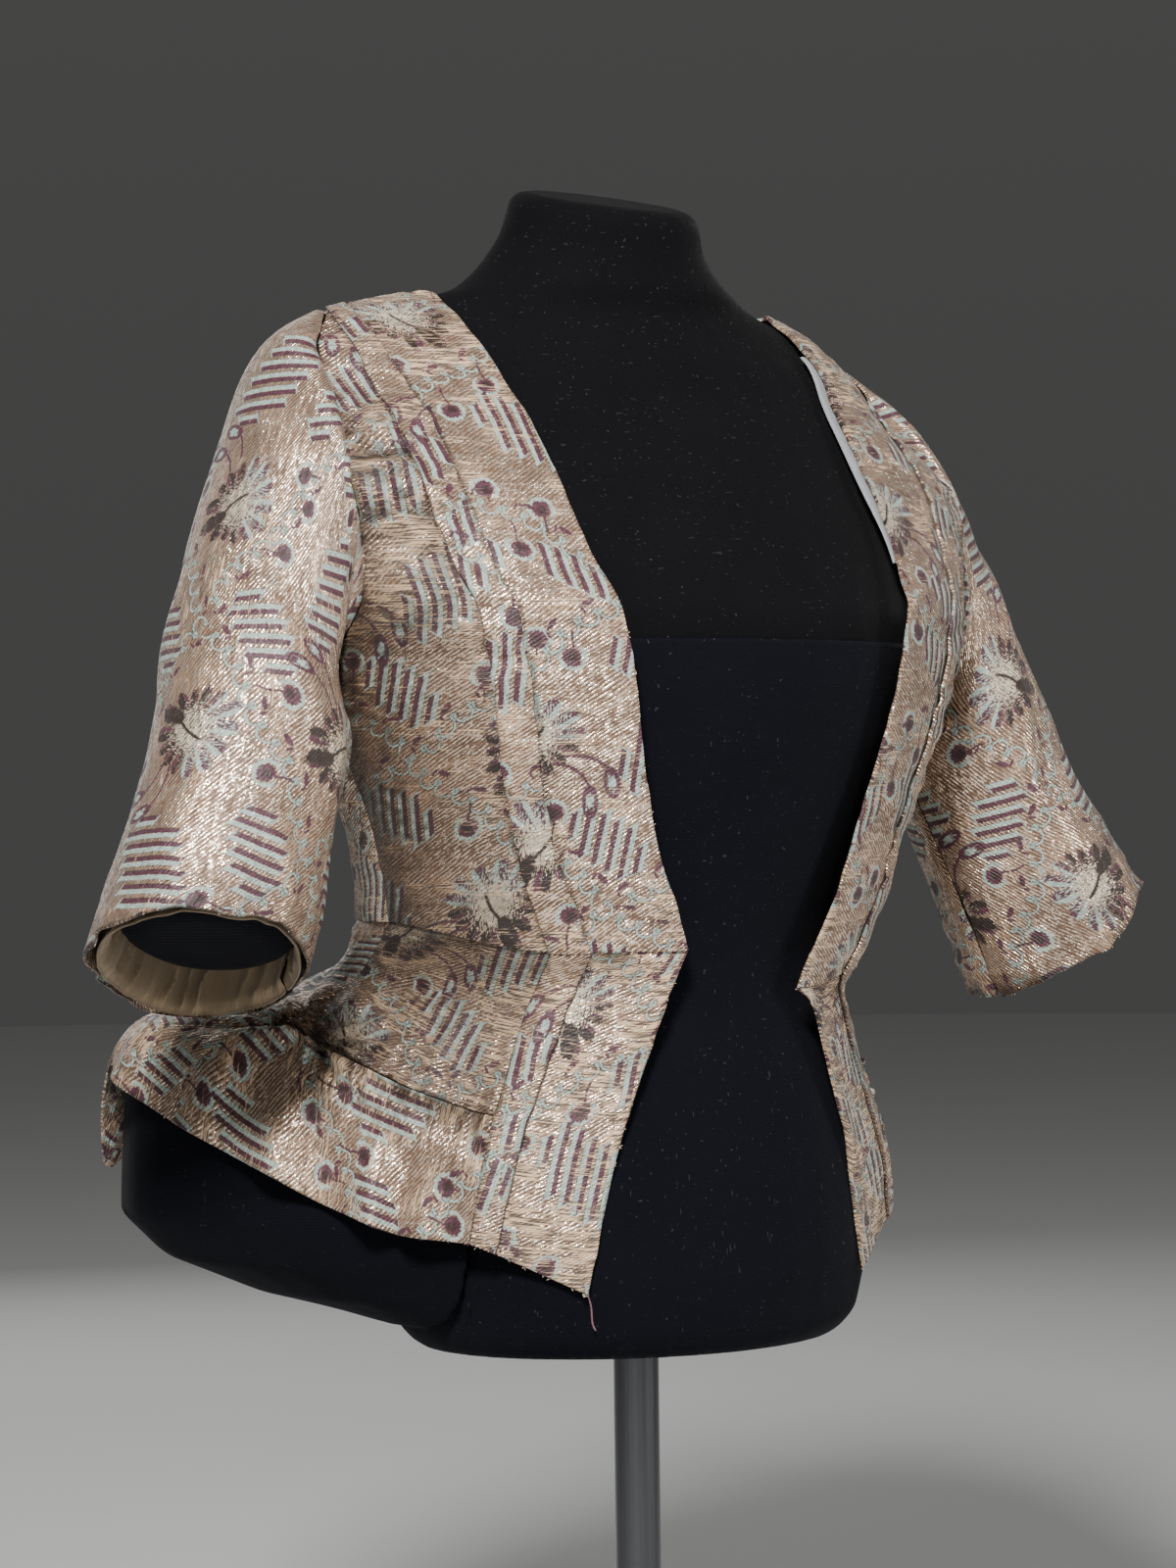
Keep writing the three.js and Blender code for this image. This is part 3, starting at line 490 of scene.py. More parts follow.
def wall_mesh(name, outer, inner, cloth, marks):
    """An object with a closed wall between two grids; cloth is the flat place of each point."""
    rows, cols = outer.shape[:2]
    count = rows * cols
    points = np.concatenate([outer.reshape(-1, 3), inner.reshape(-1, 3)]) / 1000
    index = np.arange(count).reshape(rows, cols)
    front = np.stack([index[:-1, :-1], index[:-1, 1:], index[1:, 1:], index[1:, :-1]], -1).reshape(-1, 4)
    border = np.concatenate([index[0, :-1], index[:-1, -1], index[-1, :0:-1], index[:0:-1, 0]])
    after = np.roll(border, -1)
    rim = np.stack([after, border, border + count, after + count], -1)
    faces = np.concatenate([front, front[:, ::-1] + count, rim])
    a, b, c, d = (points[faces[:, i]] for i in range(4))
    volume = np.sum(a * np.cross(b, c)) + np.sum(a * np.cross(c, d))
    if volume < 0:
        faces = faces[:, ::-1]
    mesh = bpy.data.meshes.new(name)
    mesh.from_pydata(points.tolist(), [], faces.tolist())
    flat = np.concatenate([cloth.reshape(-1, 2)] * 2)
    mesh.uv_layers.new(name="cloth").data.foreach_set("uv", flat[faces.ravel()].astype(np.float32).ravel())
    for label, values in marks.items():
        spread = np.concatenate([values.ravel()] * 2).astype(np.float32)
        mesh.attributes.new(label, "FLOAT", "POINT").data.foreach_set("value", spread)
    return finished_object(name, mesh, math.radians(55))


def finished_object(name, mesh, sharp_angle):
    """An object of the mesh, smooth but for edges sharper than the angle."""
    mesh.update()
    mesh.shade_smooth()
    mesh.set_sharp_from_angle(angle=sharp_angle)
    thing = bpy.data.objects.new(name, mesh)
    bpy.context.scene.collection.objects.link(thing)
    return thing


ASLANT = (0.31, 0.17, 0.93)     # a direction that no thread runs in


def threads_object(name, paths, radius, sides=5):
    """Short threads as tapered tubes, one for each path of points in millimetres."""
    points, faces = [], []
    turns = np.linspace(0, 2 * math.pi, sides, endpoint=False)
    for path in paths:
        path = np.asarray(path, float)
        heading = unit(np.gradient(path, axis=0))
        first = unit(np.cross(heading, ASLANT))
        second = np.cross(heading, first)
        taper = np.full(len(path), radius)
        taper[[0, -1]] *= 0.45      # thinner at both ends
        across, beside = np.cos(turns)[None, :, None], np.sin(turns)[None, :, None]
        ring = first[:, None] * across + second[:, None] * beside
        base = len(points)
        points.extend((path[:, None] + ring * taper[:, None, None]).reshape(-1, 3) / 1000)
        for j in range(len(path) - 1):
            for i in range(sides):
                k = (i + 1) % sides
                a, b = base + j * sides, base + (j + 1) * sides
                faces.append((a + i, a + k, b + k, b + i))
        faces.append(tuple(base + i for i in reversed(range(sides))))
        faces.append(tuple(base + (len(path) - 1) * sides + i for i in range(sides)))
    mesh = bpy.data.meshes.new(name)
    mesh.from_pydata([tuple(p) for p in points], [], faces)
    return finished_object(name, mesh, math.radians(70))


# ---- the bodice's panels --------------------------------------------------------------------------
# creases of the fronts: length from the middle of the front and level at both ends, width, height
PULLS = (
    (158, 690, 210, 684, 6, 1.8), (154, 664, 215, 655, 6, 1.5), (150, 640, 196, 632, 5, 1.4),
    (146, 612, 186, 606, 5, 1.5), (134, 590, 176, 584, 4, 1.3), (100, 560, 150, 549, 4, 1.5),
    (112, 580, 140, 566, 4, 1.3), (128, 716, 100, 706, 5, 0.9), (130, 700, 96, 684, 5, 1.0),
    (120, 604, 92, 596, 5, 0.8), (118, 662, 90, 652, 6, 0.8),
)
CRUSHED_AT_ARMHOLE = (
    (184, 800, 222, 776, 5, 3.2), (180, 782, 226, 756, 4.5, 3.0), (178, 760, 228, 741, 5, 3.2),
    (176, 738, 222, 728, 4, 2.6), (196, 815, 226, 792, 5, 2.4), (190, 792, 232, 768, 3.5, -2.2),
    (182, 722, 214, 716, 4, 1.8), (170, 748, 186, 772, 4, 2.4), (172, 716, 186, 738, 4, 2.0),
)
BODY_CREASES = {RIGHT: CRUSHED_AT_ARMHOLE + PULLS, LEFT: PULLS}


def ridged(x, y, cell_x, cell_y, seed):
    """Noise from 0 to 1 with narrow crests, like crushed cloth."""
    bent = x + 0.5 * cell_x * noise(x, y, 2.3 * cell_x, 2.3 * cell_y, seed + 900)
    return (1 - np.abs(noise(bent, y, cell_x, cell_y, seed))) ** 2


def beside_armhole(u, level, width, height):
    """1 in the middle of the crushed cloth beside the armhole, falling off all round it."""
    return np.exp(-(((u - CRUMPLED[0]) / width) ** 2 + ((level - CRUMPLED[1]) / height) ** 2))


def crumple(side, u, level):
    """Crests of the crushed cloth beside the armhole, from 0 to 1."""
    return ridged(u + 0.4 * level, level, 17, 11, 61 + side)


def body_relief(side, u, level):
    """How far the cloth of the body stands out of its smooth shape."""
    broad = 0.75 * (1 + noise(u, level, 30, 13, 11 + side))
    fine = 0.4 * (1 + noise(u, level, 12, 6, 17 + side))
    crushed = 1.0 if side == RIGHT else 0.45
    at_armhole = crushed * beside_armhole(u, level, 24, 45)
    height = broad + fine + 6.5 * at_armhole * crumple(side, u, level)
    on_shoulder = ease((level - 835) / 30)
    return height * (1 - 0.6 * on_shoulder) + creases(u, level, BODY_CREASES[side])


def seam_puckers(distance, run, height, pitch, seed):
    """Small gathers beside a seam, which fade out away from it."""
    wave = noise(run, distance, pitch, 14, seed)
    return height * wave * fading(distance, 7) * ease(distance / 1.5)


PROFILE = np.linspace(480, 877.5, 300)      # levels at which the way up the body is measured


def body_cloth(side, start, end, rows, step, shift=(0, 0)):
    """Part of the body between two lines, each a function that gives the angle at a row."""
    a0, a1 = start(rows), end(rows)
    arcs = arc_lengths(rows)
    widths = [np.interp(b, TURNS, arc) - np.interp(a, TURNS, arc) for a, b, arc in zip(a0, a1, arcs)]
    narrowest = 4 * step if step < 3 else 10        # a strip still gets a few columns
    shares = spaced(0, 1, step, length=max(np.max(widths), narrowest))
    angle = mix(a0[:, None], a1[:, None], shares[None, :])
    share = np.clip(above_waist(rows), 0, 1)
    level = rows[:, None] + (waist_level(side, angle) - WAIST_LEVEL) * share[:, None]
    points = sloped(side, ring_point(angle, level))
    u = np.array([np.interp(a, TURNS, arc) for a, arc in zip(angle, arcs)])
    reference = ring_point(np.full_like(PROFILE, np.mean(angle)), PROFILE)
    heights = steps_along(reference[:, None], 0)[:, 0]
    v = np.interp(level, PROFILE, heights)
    cloth = Cloth(points, outward(points, BODY_MIDDLE), u + shift[0], v + shift[1])
    cloth.relief += body_relief(side, u, level)
    cloth.body_u, cloth.level = u, level
    return cloth


def rows_between(low, high, step):
    """Levels from low to high; the cloth between them is a little longer than its height."""
    return spaced(low, high, step, length=(high - low) * 1.08)


def sleeve_cloth(side, first, last, step, inset=0.0):
    """The sleeve's tube, slit along its underside; rows run from the armhole to the cuff."""
    sections = SLEEVE + FOREARM[side]
    # turns are twentieths of a circle round the arm; the slit at 10 and 30 is underneath
    turns = np.linspace(10, 30, int(round(SLEEVE_LENGTH / step)) + 1)
    front = turns >= 20
    up = np.where(front, 30 - turns, turns - 10)
    level = mix(UNDERARM, SHOULDER_TIP, (1 - np.cos(math.pi * up / 10)) / 2)
    hole = column(ARMHOLE, "half", level)
    angle = np.where(front, angle_at(hole, level), angle_at(hole, level, True))
    knots = [ring_point(angle, level) + np.array([SLEEVE_LIFT, 0, 0])]
    turn = math.pi * turns[:, None] / 10
    for outer, inner, depth, raised in sections:
        top, low = np.array(outer, float), np.array(inner, float)
        centre = (top + low) / 2
        arm = (top - centre) * (1 - inset / np.linalg.norm(top - centre))
        tilt = math.radians(raised)
        forward = np.array([0, -math.cos(tilt), math.sin(tilt)]) * (depth - inset)
        knots.append(centre + arm * np.cos(turn) + forward * np.sin(turn))
    shares = spaced(first, last, step, length=SLEEVE_LENGTH * (last - first))
    grid = sloped(side, along(knots, shares * len(sections)))
    middle = np.mean(grid, axis=1, keepdims=True)
    normal = unit(np.cross(np.gradient(grid, axis=1), np.gradient(grid, axis=0)))
    normal *= np.sign(np.sum(normal * (grid - middle)))
    normal[:, [0, -1]] = np.mean(normal[:, [0, -1]], axis=1, keepdims=True)
    axis = middle[-1, 0] - middle[0, 0]
    axis /= np.linalg.norm(axis)
    run = np.sum((grid - middle[0, 0]) * axis, axis=2)
    around = steps_along(grid, 1)
    around = around - around[:, around.shape[1] // 2][:, None]
    cloth = Cloth(grid, normal, around, run, turned=True)
    cloth.run, cloth.around, cloth.axis = run, around, axis
    return cloth


# ---- the skirt of the bodice -----------------------------------------------------------------------
ROW_ANGLES = np.radians([row[0] for row in SKIRT])
RING_POINTS = [np.array([row[1 + i] for row in SKIRT], float) for i in range(4)]


def skirt_cloth(side, start, end, low, high, step, turned=False, shift=(0, 0)):
    """Part of the skirt between two angles of the waist seam and two of its rings."""
    angle = spaced(start, end, step, length=SKIRT_SPREAD * (end - start))
    numbers = np.arange(len(SKIRT))
    row = smooth(ROW_ANGLES, numbers, angle)
    seam = waist_level(side, angle)
    drop = waist_level(RIGHT, angle) - seam
    knots = [ring_point(angle, seam)]
    for ring, sag in zip(RING_POINTS, SAG):
        points = along(ring, row)
        points[:, 2] -= drop * sag
        knots.append(points)
    t = spaced(low, high, step, length=RING_STEP * (high - low))
    grid = along(knots, t)
    normal = outward(grid, SKIRT_MIDDLE)
    grown = ease((t - YOKE_RING) / (HEM - YOKE_RING))[:, None]
    bumps = sum(height * bell(row - middle, width) for middle, height, width in zip(*FOLDS.values()))
    grid = grid + normal * (grown * bumps[None, :])[..., None]
    u, v = steps_along(grid, 1) + shift[0], shift[1] - steps_along(grid, 0)
    cloth = Cloth(grid, outward(grid, SKIRT_MIDDLE), u, v, turned)
    cloth.angle, cloth.t = np.broadcast_arrays(angle[None, :], t[:, None])
    return cloth


# ---- shader sums ---------------------------------------------------------------------------------------
def math_method(operation):
    """A method that adds one Math node."""
    def method(self, *others):
        return self.apply(operation, *others)
    return method


class Sum:
    """A number in a shader: ordinary arithmetic on it adds Math nodes to its tree."""

    __add__ = __radd__ = math_method("ADD")
    __sub__ = math_method("SUBTRACT")
    __mul__ = __rmul__ = math_method("MULTIPLY")
    __truediv__ = math_method("DIVIDE")
    abs = math_method("ABSOLUTE")
    floor = math_method("FLOOR")
    fract = math_method("FRACT")
    sin = math_method("SINE")
    sqrt = math_method("SQRT")
    low = math_method("MINIMUM")
    high = math_method("MAXIMUM")
    angle = math_method("ARCTAN2")

    def __init__(self, tree, socket):
        self.tree, self.socket = tree, socket

    def apply(self, operation, *others, clamp=False):
        node = self.tree.nodes.new("ShaderNodeMath")
        node.operation, node.use_clamp = operation, clamp
        for socket, value in zip(node.inputs, (self, *others)):
            feed(self.tree, socket, value)
        return Sum(self.tree, node.outputs[0])

    def __rsub__(self, other):
        return self.apply("MULTIPLY_ADD", -1.0, other)

    def clamp(self):
        return self.apply("ADD", 0.0, clamp=True)

    def step(self, start, end):
        """0 below start and 1 above end, smooth between them; start may be the larger one."""
        node = self.tree.nodes.new("ShaderNodeMapRange")
        node.interpolation_type = "SMOOTHSTEP"
        for name, value in (("Value", self), ("From Min", start), ("From Max", end)):
            feed(self.tree, node.inputs[name], value)
        return Sum(self.tree, node.outputs["Result"])


def feed(tree, socket, value):
    """Sends a sum or another socket to an input, or sets the input to a plain value."""
    source = value.socket if isinstance(value, Sum) else value
    if isinstance(source, bpy.types.NodeSocket):
        tree.links.new(source, socket)
    else:
        socket.default_value = source


def length_of(x, y):
    """Length of a flat vector."""
    return (x * x + y * y).sqrt()


def repeated(x, pitch):
    """Distance from the nearest multiple of pitch, with its sign."""
    return (((x / pitch) + 0.5).fract() - 0.5) * pitch


def waved(x, pitch):
    """A wave from 0 to 1 that repeats with the pitch."""
    return (x * (2 * math.pi / pitch)).sin() * 0.5 + 0.5


def oval(x, y, cx, cy, length, width, degrees):
    """1 on the edge of an oval whose long axis is turned by degrees from the x axis, less inside."""
    c, s = math.cos(math.radians(degrees)), math.sin(math.radians(degrees))
    dx, dy = x - cx, y - cy
    along_it = (dx * (c / length)) + (dy * (s / length))
    across_it = (dy * (c / width)) - (dx * (s / width))
    return length_of(along_it, across_it)


def stalk(x, y, x0, y0, x1, y1, width, bend=0.0):
    """A thin line between two points, bent to one side."""
    length = math.hypot(x1 - x0, y1 - y0)
    c, s = (x1 - x0) / length, (y1 - y0) / length
    run = (x - x0) * c + (y - y0) * s
    t = (run / length).clamp()
    away = (y - y0) * c - (x - x0) * s - (t * (1.0 - t)) * (4 * bend)
    return length_of(away, run - t * length).step(width * 1.5, width * 0.5)


def cloth_place(tree):
    """The place on the flat cloth, in millimetres, as two sums."""
    node = tree.nodes.new("ShaderNodeUVMap")
    node.uv_map = "cloth"
    return split(tree, node.outputs["UV"])[:2]


def split(tree, socket):
    """The three parts of a vector as sums."""
    node = tree.nodes.new("ShaderNodeSeparateXYZ")
    tree.links.new(socket, node.inputs[0])
    return [Sum(tree, part) for part in node.outputs]


def joined(x, y, z=0.0):
    """A vector of two or three sums."""
    node = x.tree.nodes.new("ShaderNodeCombineXYZ")
    for socket, value in zip(node.inputs, (x, y, z)):
        feed(x.tree, socket, value)
    return node.outputs[0]


def grain(x, y, size_x, size_y, detail=2.0, seed=0.0):
    """Noise about 0.5 with cells of size_x by size_y."""
    node = x.tree.nodes.new("ShaderNodeTexNoise")
    node.noise_dimensions = "2D"
    x.tree.links.new(joined(x / size_x + seed * 7.31, y / size_y + seed * 3.7), node.inputs["Vector"])
    node.inputs["Scale"].default_value = 1
    node.inputs["Detail"].default_value = detail
    return Sum(x.tree, node.outputs["Fac"])


def attribute(tree, name):
    node = tree.nodes.new("ShaderNodeAttribute")
    node.attribute_name = name
    return Sum(tree, node.outputs["Fac"])


# ---- the figured pattern of the brocade --------------------------------------------------------------
# all sizes here are millimetres on the flat cloth
REPEAT_U = 118          # half the width of a diamond of garlands
REPEAT_V = 176          # its height
BAR = 7.6               # from one striped bar to the next
WAVE = 32.4             # half the length of a garland's wave
DOT_PITCH = 10.8        # from one dot of a garland to the next
RIB = 1.95              # from one slanting rib of the ground to the next
PLAIN_THREAD = 0.8      # from one thread of the linings to the next
TWIST = 0.7             # from one turn of a loose thread's twist to the next


def striped_lozenge(x, y, cx, cy, half_width, half_length, shear):
    """Bars that run along y, in a leaning lozenge whose ends they step along one by one.

    Each bar is a plum stripe and a pale one beside it, with dark lines at their outer sides.
    """
    dx, dy = x - cx, y - cy
    bar = (dx / BAR).floor()
    middle = (bar + 0.5) * BAR
    reach = ((1.0 - (middle / half_width).abs()) * (half_length * 2.6)).low(half_length)
    across = dx - bar * BAR
    end = reach - (dy - middle * shear + (across - 3.0) * 0.6).abs()
    inside = end.step(-0.3, 0.4)
    plum = (across - 1.55).abs().step(1.5, 1.1)
    pale = (across - 4.25).abs().step(1.45, 1.05)
    line = ((across - 0.2).abs().step(0.5, 0.15)).high((across - 5.75).abs().step(0.45, 0.1) * 0.7)
    outline = (end.abs().step(0.95, 0.6)) * (reach.step(1, 3)) * (across - 6.8).abs().step(0.3, 0.9)
    return inside * plum, (inside * pale).high(outline), inside * line


def carnation(x, y, cx, cy, size):
    """A large flower in side view, its petals in two silks, with two buds on bent stalks.

    Lengths inside it are shares of its size. The fringe breaks its edges into short stitches.
    """
    dx, dy = (x - cx) / size, (y - cy) / size
    fringe = grain(x, y, 0.8, 3.2, 1, 21.0) - 0.5
    flat = length_of(dx, dy * 0.94)
    turn = dy.angle(dx)
    phase = turn * 7.0 + (turn * 2.0 + 0.6).sin() * 0.9
    longest = (turn * 3.0 + 1.0).sin() * 0.1 + 0.60
    rim = ((flat + fringe * 0.2 - 0.34) / longest).clamp()
    petals = (phase.sin().abs() - rim * rim * rim).step(-0.04, 0.06) * rim.step(1, 0.96)
    upper = (dy + dx * 0.25 + fringe * 0.5 - 0.14).step(-0.1, 0.1)
    side = (phase * 2.0).sin() + fringe * 0.8
    heart = (flat + fringe * 1.1).step(0.48, 0.38)
    outer = petals * (1.0 - heart)
    streak = (flat + fringe * 2.4).step(0.62, 0.48)
    pale = outer * upper * side.step(0.5, 0.75).high(streak)
    dark = outer * (1.0 - upper) * side.step(0.8, 0.45)
    vein = stalk(dx, dy, -0.35, -0.42, 0.2, 0.22, 0.036, -0.08)
    eye = (oval(dx, dy, -0.3, -0.5, 0.34, 0.16, 65) + fringe * 0.5).step(1.0, 0.8)
    stalks = (stalk(dx, dy, 0.5, -0.5, 1.25, -0.98, 0.034, 0.12)
              .high(stalk(dx, dy, 0.6, -0.36, 1.6, -0.62, 0.034, 0.12)))
    bud = oval(dx, dy, 1.3, -1.28, 0.36, 0.16, 98).low(oval(dx, dy, 1.68, -0.9, 0.36, 0.16, 108))
    tip = (bud + fringe * 0.9).step(0.55, 0.4)
    plum = (outer - pale.high(dark)).clamp().high(stalks).high(bud.step(1.1, 0.9) * (1.0 - tip))
    return plum, pale.high(tip), dark.high(vein).high(eye), heart


def small_flower(dx, dy):
    """A round flower with a dark eye, on a short sprig with two leaves."""
    ragged = grain(dx, dy, 0.9, 2.4, 0, 33.0) - 0.5
    radius = length_of(dx, dy) + ragged * 1.6
    pale = (radius - 6.7).abs().step(1.25, 0.75) * dy.step(6.5, 3.5)
    plum = (radius + dy * 0.15).step(5.2, 4.6)
    dark = (radius + dx * 0.2).step(2.9, 2.3)
    sprig = ((dx + (dy * 0.4).sin() * 0.5).abs().step(1.0, 0.4) * (dy - 10.5).abs().step(7, 6.4)
             .high(oval(dx.abs(), dy, 4.4, 11.5, 4.2, 1.8, 25).step(1.15, 0.85)))
    return plum.high(sprig), pale, dark


def garland(distance, run):
    """A wavy chain of dots with thin scallops on one side and hooked leaves on the other."""
    away = distance + (run * (math.pi / WAVE)).sin() * 3.0
    spread = length_of(repeated(run, DOT_PITCH), away)
    dots = spread.step(2.1, 1.6)
    scallop = (length_of(repeated(run + DOT_PITCH / 2, DOT_PITCH), away + 1.5) - 4.6).abs()
    loops, rims = scallop.step(0.8, 0.45) * away.step(2, 1), (scallop - 0.9).abs().step(0.5, 0.2)
    leaning = repeated(run + away * 0.7 + DOT_PITCH / 2, 2 * DOT_PITCH)
    hook = length_of(leaning / 3.6, (away - 6.4) / 1.9).step(1.1, 0.85)
    upright = repeated(run + DOT_PITCH / 2, 2 * DOT_PITCH)
    stem = length_of(upright / 0.8, (away - 3.6) / 2.6).step(1.2, 0.8)
    outline = (rims * away.step(2, 1)).high((spread - 2.4).abs().step(0.5, 0.2)) * 0.6
    return dots.high(loops), hook.high(stem), outline


def pattern_group():
    """Node group: place on the cloth in, cover of each figured colour out."""
    tree = bpy.data.node_groups.new("figured_pattern", "ShaderNodeTree")
    tree.interface.new_socket("Place", in_out="INPUT", socket_type="NodeSocketVector")
    for name in ("Plum", "Pale", "Dark", "Cream"):
        tree.interface.new_socket(name, in_out="OUTPUT", socket_type="NodeSocketFloat")
    source = tree.nodes.new("NodeGroupInput")
    u, v, _ = split(tree, source.outputs[0])
    ragged = grain(u, v, 0.9, 0.9, 1, 5.0) - 0.5
    u, v = u + ragged * 0.9, v + ragged * 1.3 + (grain(u, v, 1.1, 9, 0, 3.0) - 0.5) * 1.1
    # the garlands' two families of lines, and which diamond between them the point lies in
    slope = REPEAT_V / (2 * REPEAT_U)
    level = 1 / math.hypot(1, slope)
    rising, falling = (v - u * slope) / REPEAT_V, (v + u * slope) / REPEAT_V
    i, j = rising.floor(), falling.floor()
    x = u - (j - i) * REPEAT_U
    y = v - (i + j + 1.0) * (REPEAT_V / 2)
    x = x * ((i * 0.5).fract() * 4 - 1.0)       # every other row is mirrored
    plum, pale, dark, cream = carnation(x, y, -54, 3, 27)
    leaning = y + x * 0.12
    ends = leaning.abs() - 54.0
    shapes = (
        striped_lozenge(x, y, 24, 2, 31, 20, 0.5),
        striped_lozenge(x, y, 88, 4, 17, 12, -0.6),
        striped_lozenge(x - leaning * 0.12, ends, 0, 0, 24, 14, 0.4),
        small_flower(x.abs() - 37.0, leaning.abs() - 42.0),
        small_flower(x - 63.0, leaning.abs() - 26.0),
    )
    for shape in shapes:
        plum, pale, dark = plum.high(shape[0]), pale.high(shape[1]), dark.high(shape[2] * 0.8)
    first = ((rising + 0.5).fract() - 0.5) * (REPEAT_V * level)
    second = ((falling + 0.5).fract() - 0.5) * (REPEAT_V * level)
    nearer = (first.abs() - second.abs()).step(-0.01, 0.01)
    away = first + (second - first) * nearer
    dots, hook, outline = garland(away, (u + v * slope + (v * (-2 * slope)) * nearer) * level)
    outputs = plum.high(hook), pale.high(dots), dark.high(outline), cream
    target = tree.nodes.new("NodeGroupOutput")
    for socket, value in zip(target.inputs, outputs):
        tree.links.new(value.socket, socket)
    return tree


# ---- finishes --------------------------------------------------------------------------------------
class Finish:
    """A material with its node tree and its main shader."""

    def __init__(self, name, **settings):
        self.material = bpy.data.materials.new(name)
        self.material.use_nodes = True
        self.tree = self.material.node_tree
        self.shader = self.tree.nodes["Principled BSDF"]
        for label, value in settings.items():
            self.shader.inputs[label.replace("_", " ")].default_value = value

    def link(self, label, value):
        """Sends a sum or an output socket to one of the shader's inputs."""
        feed(self.tree, self.shader.inputs[label], value)

    def bump(self, height, strength=1.0):
        """Height is a sum in millimetres."""
        node = self.tree.nodes.new("ShaderNodeBump")
        node.inputs["Distance"].default_value = 0.001
        node.inputs["Strength"].default_value = strength
        feed(self.tree, node.inputs["Height"], height)
        self.link("Normal", node.outputs[0])


def tinted(share, first, second, blend="MIX"):
    """Colour that goes from first to second, or to their product, as share goes from 0 to 1."""
    node = share.tree.nodes.new("ShaderNodeMix")
    node.data_type, node.blend_type = "RGBA", blend
    feed(share.tree, node.inputs[0], share)
    for index, colour in ((6, first), (7, second)):
        plain = not isinstance(colour, bpy.types.NodeSocket)
        feed(share.tree, node.inputs[index], (*colour, 1) if plain else colour)
    return node.outputs[2]


def body_place(tree):
    """The place in the model, in millimetres, as three sums."""
    node = tree.nodes.new("ShaderNodeTexCoord")
    return [part * 1000.0 for part in split(tree, node.outputs["Object"])]


def cloud(place, size, detail=2.0, seed=0.0):
    """Noise about 0.5 in the model's own space, with cells of one size or of one for each axis."""
    sizes = size if isinstance(size, tuple) else (size, size, size)
    tree = place[0].tree
    node = tree.nodes.new("ShaderNodeTexNoise")
    x, y, z = (part / each for part, each in zip(place, sizes))
    tree.links.new(joined(x + seed, y, z), node.inputs["Vector"])
    node.inputs["Scale"].default_value = 1
    node.inputs["Detail"].default_value = detail
    return Sum(tree, node.outputs["Fac"])


def brocade_finish(colours):
    """Figured silk: ribbed metallic ground, satin figures, bare weft where it is worn."""
    finish = Finish("figured_brocade", Sheen_Weight=0.06, Sheen_Roughness=0.5, IOR=1.5)
    tree = finish.tree
    u, v = cloth_place(tree)
    group = tree.nodes.new("ShaderNodeGroup")
    group.node_tree = pattern_group()
    tree.links.new(joined(u, v), group.inputs[0])
    plum, pale, dark, cream = (Sum(tree, socket) for socket in group.outputs)
    # slow changes over the cloth: drift bends the ribs, patch tells where it wears, cockle its unevenness
    drift = grain(u, v, 46, 34, 1, 1.0)
    patch = grain(u, v, 30, 18, 2, 4.0)
    cockle = grain(u, v, 11, 5, 1, 12.0)
    # the ground: slanting ribs, broken into dashes of metal thread; where they glint, their bright colour
    # is partly a painted highlight
    across_rib = u * 0.57 + v * 0.82 + (drift - 0.5) * 5.0
    along_rib = u * 0.82 - v * 0.57
    rib = waved(across_rib, RIB).step(0.1, 0.9)
    dash = grain(along_rib, across_rib, 4.2, 1.1, 1, 2.0)
    fleck = grain(u, v, 0.9, 0.9, 0, 6.0)
    glint = (rib * 0.28 + dash * 1.1 + fleck * 0.4 + cockle * 0.5 - 1.14).step(0.03, 0.14)
    # wear: the silk goes first and leaves wefts with dark gaps between them
    weft = grain(u, v, 12, 0.9, 1, 7.0)
    gap = grain(u, v, 17, 1.0, 1, 8.0)
    streak = grain(u, v, 26, 2.6, 1, 14.0)
    worn = attribute(tree, "worn") * 0.6 + (patch - 0.5) * 1.5 + (streak - 0.5) * 0.9
    bare = (worn + (weft - 0.5) * 1.1).step(0.28, 0.44)
    kept = 1.0 - bare * weft.step(0.54, 0.64) * 0.75
    plum, pale, dark = (mask * kept for mask in (plum, pale, dark))
    # colours, from the ground up to the figures, then the darkening for soil and painted shade
    # painted shade: the ribs lit and the gaps between them shaded, with tone that also wanders at random
    # over the cloth
    depth = rib * 0.6 + (dash - 0.5) * 1.1 + (patch + cockle + drift - 1.5) * 0.8 + 0.06
    ground = tinted(depth.clamp(), colours.shade, colours.ground)
    # painted highlight in part: the glinting metal dashes take the bright metal colour
    ground = tinted(glint, ground, colours.gleam)
    weft_colour = tinted((gap + (cockle - 0.5) * 0.4).step(0.42, 0.55), colours.gap, colours.weft)
    colour = tinted((bare * 0.95).clamp(), ground, weft_colour)
    silk = grain(u, v, 0.6, 4.0, 1, 11.0).step(0.28, 0.72)
    colour = tinted((cream * kept * 0.85).clamp(), colour, colours.cream)
    colour = tinted(pale, colour, tinted(silk, colours.pale_shade, colours.pale))
    colour = tinted(plum, colour, tinted(silk, colours.plum_shade, colours.plum))
    colour = tinted(dark, colour, colours.brown)
    # darkened where the cloth is soiled, and where painted shade lies in creases, valleys and beside raised
    # edges
    soil_and_shade = (attribute(tree, "grime_and_shade") * (cockle * 1.2 + 0.4)).clamp()
    colour = tinted(soil_and_shade, colour, colours.soil_and_shade, "MULTIPLY")
    finish.link("Base Color", colour)
    # the plain ground is part metal, the figures are silk
    raised = plum.high(pale).high(dark)
    plain = (1.0 - raised) * (1.0 - bare)
    finish.link("Metallic", (plain * (glint * 0.6 + 0.28)).clamp())
    rough = 0.44 - glint * plain * 0.22 + bare * 0.2 + raised * 0.06 + (fleck - 0.5) * 0.2
    finish.link("Roughness", rough.clamp())
    finish.bump(rib * 0.22 + fleck * 0.12 + dash * 0.28 + cockle * 0.9 + gap * 0.3)
    return finish.material


